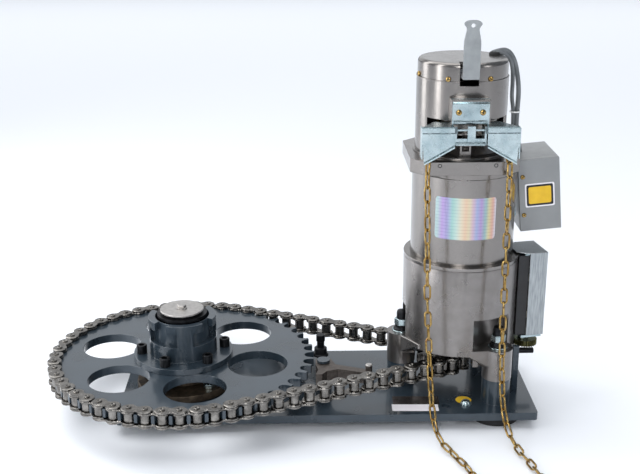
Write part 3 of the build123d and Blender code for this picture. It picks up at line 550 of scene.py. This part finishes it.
casting = cast_paint()
paint = silver_paint()
finish(casting, "gear_housing")
finish(paint, "gear_housing_cover", 1.0)


def in_foot(part, foot, turn):
    """A part made with +X pointing outward from the housing, moved to a foot."""
    return moved(part, foot[0], foot[1], 0, Matrix.Rotation(turn, 4, "Z"))


def foot_arm(right_reach, left_reach):
    """An arm across a foot, whose face slants back and whose underside rises towards both ends.

    The face is 4 mm outside the stud up to 12 mm from it, and then falls back by 18 mm in 28. The
    underside is at 47 mm up to 14 mm from the stud, and rises by 12.6 mm over the next 18.
    """
    y = np.linspace(-right_reach, left_reach, 15)
    face = 4 - 18 * np.maximum(abs(y) - 12, 0) / 28
    under = 47 + 12.6 * np.clip((abs(y) - 14) / 18, 0, 1)
    back, top = np.full(15, -25.0), np.full(15, 65.2)
    corners = [(back, y, under), (face, y, under), (face, y, top), (back, y, top)]
    return sections_part(np.stack([np.stack(corner, -1) for corner in corners], 1))


feet = [
    ((77.5, 0), pi, 38, 38),
    ((168, -45), np.arctan2(-45, 33), 40, 16),
    ((168, 45), np.arctan2(45, 33), 16, 40),
]
pocket = in_foot(box_part(-13.4, 24, -28.5, -12.8, 65, 97.5), *feet[1][:2])
softened("gear_housing", 1.0, tools=[pocket])
arms = [in_foot(foot_arm(right, left), foot, turn) for foot, turn, right, left in feet]
arms.append(box_part(143.6, 150, -45, -39, 42.5, 51))
fitted("foot_arms", arms, casting, "motor", edge_mm=1.0)
rim = moved(turned_ring(band(50.6, 57.1, 147.4, 151.1)), motor_x)
fitted("housing_rim", [rim], paint, "motor", edge_mm=0.5)

# Nuts and studs
# On each foot a zinc washer, a black flanged nut, a bright nut and the stud's black end; the stop stud has
# its own nut. The jack's screw lies along X with a bright nut.

along_x = Matrix.Rotation(pi / 2, 4, "Y")
finish(black_oxide, "m8_nuts m8_studs tension_screw")
finish(zinc, "foot_washers", 0.5)
collar = lathe([(8.4, 66.6), (8.4, 67.6), (6.9, 69.2), (6.9, 71.6)], 32)
stud = lathe([(3.9, 40), (3.9, 78), (5.3, 78.4), (5.3, 84.5), (4.6, 86.5), (1.5, 87.2)], 28)
stop = lathe([(3.9, 8), (3.9, 22), (8.4, 22.4), (8.4, 23.8), (7.0, 25.2), (6.6, 31), (3.9, 31.6), (3.9, 38.5),
              (4.7, 39), (4.7, 45.4), (4.2, 46)], 28)
places = [foot for foot, *_ in feet]
studs = [moved(stud, *foot) for foot in places] + [moved(stop, -4.3, 33.5)]
fitted("stud_ends", studs, black_oxide, "motor", "m8_studs", 0.2)
fitted("black_nuts", [moved(collar, *foot) for foot in places], black_oxide, "motor",
       "m8_nuts", 0.2)
fitted("bright_nuts", [moved(hexagon_part(13, 71.6, 78.4), *foot) for foot in places], zinc, "motor",
       edge_mm=0.2)
rod = lathe([(2.8, 0), (3.0, 0.4), (3.0, 26.6), (2.4, 27.0)], 20)
fitted("tension_rod", [moved(rod, 187, 0, 40.5, along_x)], black_oxide, "motor",
       "tension_screw", 0.15)
nut = moved(hexagon_part(10, 0, 5), 193.5, 0, 40.5, along_x)
fitted("tension_nut", [nut], zinc, "motor", edge_mm=0.2)

# Motor
# A drawn steel tube with the stator pressed into it and a cast end shield on top, both in silver paint. The
# copper windings and the steel core stay out of sight.

finish(paint, "motor_tube", 0.3)
finish(paint, "end_shield", 1.0)
finish(chain_steel, "stator_core")
finish(plain("enamelled copper wire", "#8a4a25", "#a65f33", 0.8, 0.3, 2), "stator_windings")

# Upper housing
# A pressed shell and cap in silver paint over the brake, with the bead along their seam, the bright rim at
# the foot, two small recesses in the end shield as black dimples, whose black is painted shade, and the
# painted lip over the guide bracket.

top_x = 129.5
to_front = Matrix.Rotation(pi / 2, 4, "X")
finish(paint, "upper_housing top_cap", 1.0)
finish(chain_steel, "brake_armature brake_spring")
finish(black_oxide, "brake_disc brake_coil")
bead = mesh_piece("seam_bead", *moved(turned_ring(band(42.4, 43.6, 325.5, 326.5)), top_x), paint, "motor")
cut(bead, [box_part(top_x - 8.8, top_x + 8.8, -60, -30, 320, 330)])
round_edges(bead, 0.3)
foot_bead = moved(turned_ring(band(43.0, 45.2, 253.8, 255.4)), top_x)
fitted("foot_bead", [foot_bead], paint, "motor", edge_mm=0.5)
# The dimples' black is painted shade for two small recesses in the end shield.
dimple = lathe([(1.9, -1), (1.9, 0.2), (1.3, 0.2), (1.2, -0.4), (0.1, -0.4)], 20)
dimples = [moved(dimple, x, -51.5, 250.6, to_front) for x in (103.9, 156)]
fitted("recess_shade_dimples", dimples, black_oxide, "motor", edge_mm=0.1)
lip = [box_part(top_x - 17.9, top_x + 17.9, -58.5, -40, 311.4, 313.0)]
lip += [box_part(x, x + 1, -58.5, -40, 289, 312.4) for x in (top_x - 17.9, top_x + 16.9)]
fitted("bracket_lip", lip, paint, "motor", edge_mm=0.45)

# Release lever
# A flat strap of grey steel with a fish-tail head and a hole, stamped and turned in at the foot to its lug
# on the steel cross pin.

lever_grey = plain("matt grey steel", "#8e9294", "#9da1a3", 0.6, 0.45, 9)
finish(lever_grey, "release_lever")
finish(chain_steel, "lever_pivot_pin")
half_head = [
    (0, 383), (3.2, 382.9), (5.8, 382.2), (7.4, 381.0), (8.0, 379.9), (7.8, 378.7), (6.5, 377.2),
    (5.7, 375.6), (5.6, 374.0), (6.1, 371.4), (6.9, 368.0), (7.5, 364.6), (7.7, 361.0), (7.7, 340),
    (7.6, 330),
]
strap = half_head + [(-x, z) for x, z in half_head[:0:-1]]
strap_part = sections_part([[(top_x + x, y, z) for x, z in strap] for y in (-48.75, -51.25)])
lever = mesh_piece("lever", *strap_part, lever_grey, "lever")
cut(lever, [moved(lathe([(1.9, -10), (1.9, 10)], 28), top_x, -50, 378.2, to_front)])
round_edges(lever, 0.35)
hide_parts("release_lever")
foot = [box_part(top_x - 7.6, top_x + 7.6, -51.2, -19, 330, 332.4),
        box_part(top_x - 7.6, top_x + 7.6, -25, -19, 328.2, 335)]
fitted("lever_foot", foot, lever_grey, "lever")

# Chain guides and bracket
# Folded zinc-plated sheet: the guides with the bright turned strip along their top and the turned lip along
# their slope, and the bracket with the tab that holds the saddle.

finish(zinc, "chain_guides guide_bracket")
softened("chain_guides", 0.3)
softened("guide_bracket", 0.3)
top_fold = [(-66.6, 283.9), (-66.0, 283.7), (-62.4, 289.3), (-62.8, 289.8)]
slope_fold = [(-66.3, -0.7), (-68.2, -1.3), (-68.4, 0.2), (-66.3, 1.2)]
folds = []
for side in (-1, 1):
    ends = sorted((top_x + side * 12.5, top_x + side * 44.4))
    folds.append(sections_part([[(x, y, z) for y, z in top_fold] for x in ends]))
    ends = sorted(((top_x + side * 14.8, 272.4), (top_x + side * 42.2, 256.6)))
    folds.append(sections_part([[(x, y, z + up) for y, up in slope_fold] for x, z in ends]))
folds.append(box_part(top_x - 3.1, top_x + 4.2, -63.4, -62.4, 275.5, 290))
bar = lathe([(1.4, -13.5), (1.8, -13), (1.8, 13), (1.4, 13.5)], 20)
folds.append(moved(bar, top_x, -62.5, 273.6, along_x))
fitted("guide_folds", folds, zinc, "motor", edge_mm=0.15)

# Hand chain
# Twisted oval links of yellow passivated wire along one smooth curve: from the wheel down the left side, over
# the floor, through the put-away hank outside the view, and back up the right side to the wheel.


def yellow_zinc():
    """Yellow passivated zinc, with the rainbow of the passivation as a slight shift of hue."""
    material, tree, shader = new_material("yellow passivated zinc", Metallic=1.0, Roughness=0.2)
    colour(tree, shader, noise(tree, 7, 2), [(0.3, "#7f6338"), (0.48, "#9a7d47"), (0.6, "#ad945e"),
                                             (0.72, "#8d6c46")])
    return material


def smooth_line(name, points_mm):
    """The points in metres of a NURBS curve of order 3 over a route's control points in millimetres."""
    data = bpy.data.curves.new(name, "CURVE")
    data.dimensions = "3D"
    data.resolution_u = 12
    spline = data.splines.new("NURBS")
    spline.points.add(len(points_mm) - 1)
    for point, (x, y, z) in zip(spline.points, points_mm):
        point.co = (x / 1000, y / 1000, z / 1000, 1)
    spline.order_u = 3
    spline.use_endpoint_u = True
    piece = new_object(name, data)
    mesh = bpy.data.meshes.new_from_object(piece)
    line = np.array([v.co[:] for v in mesh.vertices])
    bpy.data.objects.remove(piece)
    return line


def tube_grid(path, radius, sides):
    """Points and faces of a closed tube of that radius round a closed, flat path of points.

    Section t of point p is p + radius (cos t out + sin t normal), with the normal square to the path's plane
    and out square to it and to the path's direction.
    """
    count = len(path)
    ahead = np.roll(path, -1, 0) - np.roll(path, 1, 0)
    ahead /= np.linalg.norm(ahead, axis=1)[:, None]
    middle = path.mean(0)
    normal = np.cross(path[0] - middle, path[count // 4] - middle)
    normal /= np.linalg.norm(normal)
    out = np.cross(ahead, normal)
    turns = np.arange(sides) * 2 * pi / sides
    ring = (path[:, None] + radius * (np.cos(turns)[None, :, None] * out[:, None]
                                      + np.sin(turns)[None, :, None] * normal[None, None]))
    i, j = np.meshgrid(np.arange(count), np.arange(sides), indexing="ij")
    ni, nj = (i + 1) % count, (j + 1) % sides
    faces = np.stack([i * sides + j, i * sides + nj, ni * sides + nj, ni * sides + j], -1).reshape(-1, 4)
    return ring.reshape(-1, 3), faces


passivated = yellow_zinc()
finish(chain_steel, "hand_chain_wheel", 0.5)
chain_r = 0.00385
floor_z = -5.75
left_side = [
    (130, -196, floor_z), (130, -174, floor_z), (124, -150, floor_z), (115, -128, floor_z),
    (106, -108, floor_z + 2), (101, -94, 6), (99, -85, 26), (97, -80, 56), (95, -77.5, 92), (93, -74, 130),
    (92.6, -70, 170), (92, -66, 206), (91.3, -63, 236), (92, -58, 258), (96, -49, 273), (101, -36, 280),
    (107, -18, 280.5),
]
right_side = [
    (163, -18, 280.5), (165, -36, 280), (167, -49, 273), (167.2, -58, 258), (166.8, -63, 236),
    (166, -66, 206), (165.6, -70, 170), (165.4, -74, 130), (165, -77.5, 92), (166, -80, 56), (167, -85, 26),
    (170, -94, 6), (174, -107, floor_z + 2), (178, -126, floor_z), (184, -149, floor_z), (189, -173, floor_z),
    (189, -196, floor_z),
]
wrap_r = 28 / cos(pi / 8)
wrap = [(motor_x + wrap_r * cos(a * pi / 8), wrap_r * sin(a * pi / 8), 280.5) for a in (1, 3, 5, 7)]


def hank_route():
    """Five runs to and fro inside the hank's box, from the left entry to the right one."""
    low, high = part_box("hand_chain_hank")
    front, back = 1000 * low.y + 5, 1000 * high.y - 5
    first, last, runs = left_side[0][0], right_side[-1][0], 5
    route = []
    for i in range(runs):
        x = first + i * (last - first) / (runs - 1)
        near, far = (back, front) if i % 2 == 0 else (front, back)
        sign = 1 if far > near else -1
        route += [(x, near + sign * 7, floor_z), (x, (near + far) / 2, floor_z), (x, far - sign * 7, floor_z)]
        if i < runs - 1:
            route.append((x + 7, far - sign, floor_z))
    return route


def along(line, places):
    """Points and directions at given lengths along a line."""
    steps = np.linalg.norm(np.diff(line, axis=0), axis=1)
    total = np.concatenate([[0], np.cumsum(steps)])
    points = np.stack([np.interp(places, total, line[:, k]) for k in range(3)], 1)
    ahead = np.stack([np.interp(places + 0.002, total, line[:, k]) for k in range(3)], 1)
    behind = np.stack([np.interp(places - 0.002, total, line[:, k]) for k in range(3)], 1)
    direction = ahead - behind
    return points, direction / np.linalg.norm(direction, axis=1)[:, None], total[-1]


def oval_link(length, width, wire, arc=5, sides=7):
    """One oval link in the XZ plane, long along X: two half circles joined by straight sides."""
    r = width / 2 - wire / 2
    half = length / 2 - wire / 2 - r
    turns = np.linspace(-pi / 2, pi / 2, arc)
    right = np.stack([half + r * np.cos(turns), np.zeros(arc), r * np.sin(turns)], 1)
    return tube_grid(np.concatenate([right, right * (-1, 1, -1)]), wire / 2, sides)


def hand_chain():
    """The links one after another, each turned a quarter from the last, with a slow twist on top."""
    route = wrap + left_side[::-1] + hank_route() + right_side[::-1]
    line = smooth_line("hand chain line", route)
    link_pitch, wire, width = 0.0132, 0.0021, 2 * chain_r - 0.0003
    link = oval_link(link_pitch + 2 * wire - 0.0004, width, wire)
    total = np.linalg.norm(np.diff(line, axis=0), axis=1).sum()
    count = int(total / link_pitch)
    places = (np.arange(count) + 0.5) * total / count
    points, directions, total = along(line, places)
    parts = []
    side = np.array([0.0, 0.0, 1.0])
    for i, (p, d) in enumerate(zip(points, directions)):
        side = side - d * (side @ d)
        side /= np.linalg.norm(side)
        other = np.cross(d, side)
        on_floor = p[2] < 0.0
        twist = pi / 4 if on_floor or p[2] > 0.25 else pi / 4 + 0.5 * sin(i * 0.37)
        turn = twist + (pi / 2) * (i % 2)
        up = cos(turn) * side + sin(turn) * other
        across = np.cross(up, d)
        parts.append((link[0] @ np.stack([d, across, up]) + p, link[1]))
    return join(parts), line


(chain_points, chain_faces), chain_line = hand_chain()
hand = mesh_piece("hand_chain_links", chain_points, chain_faces, passivated, "motor")
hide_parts("hand_chain", "hand_chain_hank")

# Limit unit
# The cover of bare brushed strip, the zinc-plated frame and the black switch block with its small terminals,
# over the toothed gear, and two nylon nuts on the steel spindle.


def brushed_steel():
    """Rolled steel strip, with grain of 1.2 mm drawn out along its length."""
    material, tree, shader = new_material("brushed steel strip", Metallic=1.0)
    grain = noise(tree, 1.2, 4, (1, 1, 0.08))
    colour(tree, shader, grain, [(0.3, "#8b9093"), (0.7, "#b4b9bb")])
    roughen(tree, shader, grain, 0.28, 0.4)
    return material


finish(brushed_steel(), "limit_cover")
finish(zinc, "limit_frame")
finish(plain("black plastic", "#121214", "#1c1c1f", 0.0, 0.4, 8), "limit_switches")
finish(plain("yellow zinc on gear steel", "#3b3a28", "#68663f", 0.9, 0.35, 3), "limit_gear")
finish(chain_steel, "limit_spindle limit_pinion")
finish(plain("natural nylon", "#cfcab8", "#e2decf", 0.0, 0.4, 8), "limit_nut_lower limit_nut_upper")
for name, edge_mm in (("limit_cover", 0.5), ("limit_frame", 0.3), ("limit_switches", 0.5)):
    softened(name, edge_mm, shift_mm=(-2.6, 0, 0))
terminals = [box_part(x, x + 2.6, -15.4, -12.5, z, z + 2.2)
             for x, z in ((190.6, 140), (190, 131), (190.3, 104), (190.6, 87))]
terminals.append(box_part(191.6, 194.2, -15.6, -12.5, 110, 117))
fitted("switch_terminals", terminals, zinc, "motor", edge_mm=0.3)

# Control box
# A box and its front cover folded from sheet in grey stove enamel, on a zinc-plated bracket, leaning a little
# to the right, and the two cables that come down to it from the cap's grommet, with the tie that holds them.


def box_enamel():
    """Grey stove enamel on folded sheet: an even grey whose soft highlights are a little broken."""
    material, tree, shader = new_material("grey stove enamel", Metallic=0.3, Coat_Weight=0.2,
                                          Coat_Roughness=0.3)
    colour(tree, shader, noise(tree, 30), [(0.3, "#87898a"), (0.7, "#929495")])
    roughen(tree, shader, noise(tree, 9), 0.38, 0.5)
    bump(tree, shader, noise(tree, 1.1), 0.02)
    return material


box_paint = box_enamel()
sheath = plain("grey cable sheath", "#5b5f62", "#73777a", 0.0, 0.45, 12)
tie_white = plain("white cable tie", "#e4e6e6", "#f2f3f3", 0.0, 0.4, 8)
finish(box_paint, "control_box control_box_cover")
finish(zinc, "control_box_bracket", 0.5)
finish(sheath, "cables")
finish(rubber, "cable_grommet")
box_at = Matrix.Translation((0.187, 0.002, 0.241)) @ Matrix.Rotation(radians(-5.4), 4, "Y")
box_parts = [
    ("control_box_shell", "control_box", box_part(0, 41, 1.6, 66, -73, 0), 1.0),
    ("control_box_front", "control_box_cover", box_part(0.2, 40.8, 0, 1.5, -72.8, -0.4), 0.4),
]
for name, node, part, edge_mm in box_parts:
    fitted(name, [moved(part, *(1000 * box_at.translation), box_at)], box_paint, "motor", node,
           edge_mm)


def cable(points_mm, radius_mm, sides=14):
    """A round cable along a smooth curve near the route's control points.

    At each point p of the curve, a and b are square to it and to each other, and the section's points are
    p + radius (a cos t + b sin t).
    """
    line = 1000 * smooth_line("cable line", points_mm)
    ahead = np.gradient(line, axis=0)
    ahead /= np.linalg.norm(ahead, axis=1)[:, None]
    a = np.cross(ahead, (0.35, 1.0, 0.1))
    a /= np.linalg.norm(a, axis=1)[:, None]
    b = np.cross(ahead, a)
    t = (np.arange(sides) * 2 * pi / sides)[:, None]
    return sections_part(line[:, None] + radius_mm * (np.cos(t) * a[:, None] + np.sin(t) * b[:, None]))


outer_cable = [
    (159, 11, 344.6), (164, 12, 346.4), (174, 15, 347), (182, 20, 337), (186.5, 24, 322), (189.5, 27, 305),
    (189.5, 30, 286), (190, 33, 265), (194, 36, 252), (196, 37, 240),
]
inner_cable = [
    (162, 9, 344.6), (168, 11, 345.4), (176, 15, 341), (180.5, 19, 330), (182, 22, 315), (182.5, 26, 299),
    (185.5, 29, 286), (187, 34, 265), (191, 41, 252), (193, 44, 240),
]
runs = join([cable(outer_cable, 2.4), cable(inner_cable, 2.0)])
cables = mesh_piece("cable_runs", *runs, sheath, "motor")
cables.data.set_sharp_from_angle(angle=radians(33))
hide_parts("cables")
tie = moved(turned_ring(band(4.5, 5.3, -0.7, 0.7), 28), 187.2, 30, 284)
fitted("cable_tie", [tie], tie_white, "motor", edge_mm=0.1)
grommet = lathe([(5.4, 343), (5.4, 344.2), (4.6, 345.6), (3.0, 346), (1.0, 346)], 24)
fitted("grommet", [moved(grommet, 161, 10.5)], rubber, "motor", "cable_grommet", 0.2)

# Screws
# Yellow passivated pan heads with a cross recess round the cap's seam, on the bracket and on the box's
# cover, with a black cross in each head as the painted shade of its recess.

finish(passivated, "cover_screws")


def pan_screw(x, y, z, turn, size=1.0):
    """A pan head of 5 mm with its recess, made along +Z and turned to face outward."""
    profile = [(2.5, 0), (2.5, 0.7), (2.1, 1.4), (1.3, 1.7), (0.7, 1.7), (0.5, 0.9), (0.05, 0.8)]
    return moved(lathe([(r * size, h * size) for r, h in profile], 20), x, y, z, turn)


def painted_recess_cross(x, y, z, turn, size=1.0):
    """A black cross in that head: the painted shade of its recess."""
    long, thin, low, high = 1.5 * size, 0.28 * size, 1.3 * size, 1.66 * size
    arms = [box_part(-long, long, -thin, thin, low, high), box_part(-thin, thin, -long, long, low, high)]
    return moved(join(arms), x, y, z, turn)


screw_seats = [(x, -57.5, 301.6, to_front, 1.1) for x in (118.6, 140.4)]
for angle in (-116, -62, 190, 15, 90):
    turn = Matrix.Rotation(radians(angle), 4, "Z") @ along_x
    screw_seats.append((top_x + 42.6 * cos(radians(angle)), 42.6 * sin(radians(angle)), 328.4, turn, 1.0))
for z in (-17, -56):
    seat = box_at @ Vector((0.0042, 0, z / 1000))
    screw_seats.append((*(1000 * seat), box_at @ to_front, 0.9))
fitted("pan_screws", [pan_screw(*seat) for seat in screw_seats], passivated, "motor",
       "cover_screws", 0.1)
# The black crosses are painted shade of the cross recesses, in the black oxide material.
fitted("recess_shade_crosses", [painted_recess_cross(*seat) for seat in screw_seats], black_oxide, "motor",
       edge_mm=0.05)

# Safety pawl
# A phosphated casting that turns on its block, with the bright end of the pin that carries its roller.

finish(plain("phosphated casting", "#47413d", "#5f5853", 0.7, 0.42, 3), "safety_pawl", 1.0)
pin_end = lathe([(3.5, 46), (3.5, 46.8), (2.8, 47.6), (0.3, 47.7)], 20)
fitted("pawl_pin_end", [moved(pin_end, 41.5, -44)], satin, "pawl", edge_mm=0.1)

# Stickers
# A blank holographic label on the motor tube, a two-band label and a yellow disc on the base plate, and a
# plain sticker of yellow, black and white on the control box, each a thin sheet on what carries it.


def holographic_film():
    """Holographic film: pale rainbow bands across its width and faint ruled lines, with nothing printed."""
    material, tree, shader = new_material("holographic film", Metallic=0.25, Roughness=0.22, Coat_Weight=0.5)
    place = add_node(tree, "ShaderNodeTexCoord").outputs["Object"]
    apart = add_node(tree, "ShaderNodeSeparateXYZ", {"Vector": place})
    across = add_node(tree, "ShaderNodeMapRange", {"Value": apart.outputs["X"], "From Min": 0.1005,
                                                   "From Max": 0.1595}).outputs["Result"]
    bands = ramp(tree, across, [
        (0.0, "#a9bcc8"), (0.07, "#9fb8b6"), (0.14, "#a890c4"), (0.22, "#a3a2cc"), (0.29, "#92bcb6"),
        (0.36, "#b2c8c0"), (0.43, "#cfc6ae"), (0.50, "#d6b79c"), (0.56, "#cfc4a4"), (0.62, "#c2a8b8"),
        (0.68, "#9aa8cc"), (0.75, "#a98fc0"), (0.82, "#9cbec2"), (0.88, "#cfc294"), (0.94, "#cf9f90"),
        (1.0, "#c4cad6")])
    lines = add_node(tree, "ShaderNodeTexWave", {"Vector": place, "Scale": 98.0},
                     bands_direction="Z").outputs["Fac"]
    ruled = ramp(tree, lines, [(0.90, "#ffffff"), (0.97, "#c4bccb")])
    mixed = add_node(tree, "ShaderNodeMix", data_type="RGBA", blend_type="MULTIPLY")
    mixed.inputs[0].default_value = 0.45
    tree.links.new(bands, mixed.inputs[6])
    tree.links.new(ruled, mixed.inputs[7])
    tree.links.new(mixed.outputs[2], shader.inputs["Base Color"])
    return material


def rounded_rectangle(width, height, corner, steps=6):
    """The outline of a rectangle about (0, 0): a quarter circle round the centre of each corner's arc."""
    centres = np.array([(1, 1), (-1, 1), (-1, -1), (1, -1)]) * (width / 2 - corner, height / 2 - corner)
    turns = np.arange(4)[:, None] * pi / 2 + np.linspace(0, pi / 2, steps)
    arcs = corner * np.stack([np.cos(turns), np.sin(turns)], -1)
    return (centres[:, None] + arcs).reshape(-1, 2)


def flat_sticker(name, outline, lift, at, material):
    """A thin sticker: an outline in its own plane, lifted off its seat and moved by a matrix."""
    points = np.concatenate([np.column_stack([outline, np.full(len(outline), z)]) for z in (0, lift)])
    count = len(outline)
    faces = [tuple(range(count))[::-1], tuple(range(count, 2 * count))]
    faces += [(i, (i + 1) % count, count + (i + 1) % count, count + i) for i in range(count)]
    turn = np.array(at)
    return mesh_piece(name, points @ turn[:3, :3].T + turn[:3, 3], faces, material, "motor", smooth=False)


def tube_label():
    """The film: a grid of turns a and heights z over the tube's front, at (r sin a, -r cos a, z).

    The columns near both edges shorten along a circle, which rounds the label's corners.
    """
    tube_low, tube_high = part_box("motor_tube")
    radius = (tube_high.x - tube_low.x) / 2 + 0.0002
    first, last, low, high, corner = radians(-39.5), radians(28.5), 0.1775, 0.2185, 0.0025
    columns, rows = 49, 5
    a = np.linspace(first, last, columns)[:, None]
    edge = np.minimum(a - first, last - a) * radius
    short = corner - np.sqrt(np.maximum(corner ** 2 - np.maximum(corner - edge, 0) ** 2, 0))
    z = low + short + (high - low - 2 * short) * np.linspace(0, 1, rows)
    points = np.stack([motor_x / 1000 + radius * np.sin(a) + 0 * z, 0 * z - radius * np.cos(a), z], -1)
    i, j = np.meshgrid(np.arange(columns - 1), np.arange(rows - 1), indexing="ij")
    corners = (i * rows + j, (i + 1) * rows + j, (i + 1) * rows + j + 1, i * rows + j + 1)
    return points.reshape(-1, 3), np.stack(corners, -1).reshape(-1, 4)


mesh_piece("tube_label", *tube_label(), holographic_film(), "motor")

white_film = plain("white film", "#e9e4ea", "#f4f2f5", 0.0, 0.35, 20)
dark_foil = plain("dark metal foil", "#3a3330", "#8d8480", 0.9, 0.25, 14)
yellow_film = plain("yellow film", "#e3b414", "#f0c322", 0.0, 0.35, 10)
black_film = plain("black film", "#101112", "#16181a", 0.0, 0.35, 10)

plate_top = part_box("pawl_pivot_block")[0].z
label_at = Matrix.Translation((0.0885, -0.0458, plate_top + 0.0001)) @ Matrix.Rotation(radians(-1.5), 4, "Z")
flat_sticker("plate_label_foil", rounded_rectangle(0.046, 0.017, 0.0006), 0.0002, label_at, dark_foil)
label_at = Matrix.Translation((0.0864, -0.0615, plate_top + 0.0001)) @ Matrix.Rotation(radians(-1.5), 4, "Z")
flat_sticker("plate_label_white", rounded_rectangle(0.0455, 0.0135, 0.0006), 0.0002, label_at, white_film)
disc = np.array([(0.0078 * cos(t), 0.0078 * sin(t)) for t in np.linspace(0, 2 * pi, 40, endpoint=False)])
disc_at = Matrix.Translation((0.1362, -0.0462, plate_top + 0.0001))
flat_sticker("earth_disc", disc, 0.0002, disc_at, yellow_film)

cover_at = box_at @ Matrix.Translation((0.0205, -0.0001, -0.0365)) @ Matrix.Rotation(pi / 2, 4, "X")
for name, width, height, lift, film in (("box_sticker_white", 0.029, 0.024, 0.0002, white_film),
                                        ("box_sticker_black", 0.0262, 0.0212, 0.0003, black_film),
                                        ("box_sticker_yellow", 0.0222, 0.0172, 0.0004, yellow_film)):
    flat_sticker(name, rounded_rectangle(width, height, 0.0016), lift, cover_at, film)

# Floor and light
# A pale floor, soft boxes to the left, in front and to the right, a wide panel behind, and a broad sun for
# the sky of a product studio. The world adds a faint blue to the shadows.

floor_material, _, floor_shader = new_material("white studio paper", Roughness=0.6)
floor_shader.inputs["Base Color"].default_value = linear("#f3f6fb")
floor = new_mesh("studio_floor", [(-6, -4, 0), (6, -4, 0), (6, 9, 0), (-6, 9, 0)], [(0, 1, 2, 3)])
floor.materials.append(floor_material)
floor_piece = new_object("studio_floor", floor)
floor_piece.location.z = cad_box[0].z - 0.0002


def soft_light(name, place, target, size, watts):
    """A rectangular white area light at a place, aimed at a target."""
    data = bpy.data.lights.new(name, "AREA")
    data.shape = "RECTANGLE"
    data.size, data.size_y = size
    data.energy = watts
    lamp = new_object(name, data)
    lamp.location = place
    lamp.rotation_euler = (Vector(target) - Vector(place)).to_track_quat("-Z", "Y").to_euler()


soft_light("left_strip", (-1.05, -0.45, 0.55), (0.1, 0, 0.17), (0.3, 1.5), 8)
soft_light("front_box", (-0.25, -1.7, 1.0), (0.1, 0, 0.15), (0.6, 1.0), 14)
soft_light("far_left_strip", (-0.9, 0.5, 0.6), (0.1, 0, 0.15), (0.4, 1.3), 6)
soft_light("right_fill", (1.5, -0.9, 0.8), (0.1, 0, 0.1), (0.4, 1.0), 4)
soft_light("back_panel", (0.0, 3.6, 1.5), (0, 0, 0.2), (6.0, 2.0), 24)

sky = bpy.data.lights.new("sky_light", "SUN")
sky.energy = 2.05
sky.angle = radians(70)
sky_lamp = new_object("sky_light", sky)
sky_lamp.rotation_euler = (radians(-14), radians(-10), 0)

world = bpy.data.worlds.new("studio")
world.use_nodes = True
world.node_tree.nodes["Background"].inputs["Color"].default_value = linear("#dbe6f4")
world.node_tree.nodes["Background"].inputs["Strength"].default_value = 0.28
bpy.context.scene.world = world
bpy.context.scene.view_settings.view_transform = "Standard"

# Camera
# Solved from the photo: it stands in front of the plate's left half, about half a metre up, and looks
# down by 18.5 degrees.

camera_data = bpy.data.cameras.new("camera")
camera_data.lens = 60.37
camera_data.sensor_width = 36
camera = new_object("camera", camera_data)
down, across = radians(18.50), radians(1.32)
look = Vector((sin(across) * cos(down), cos(across) * cos(down), -sin(down)))
aim = look.to_track_quat("-Z", "Y").to_matrix() @ Matrix.Rotation(radians(-0.11), 3, "Z")
camera.rotation_euler = aim.to_euler()
camera.location = (-0.02869, -1.00654, 0.50232)
bpy.context.scene.camera = camera
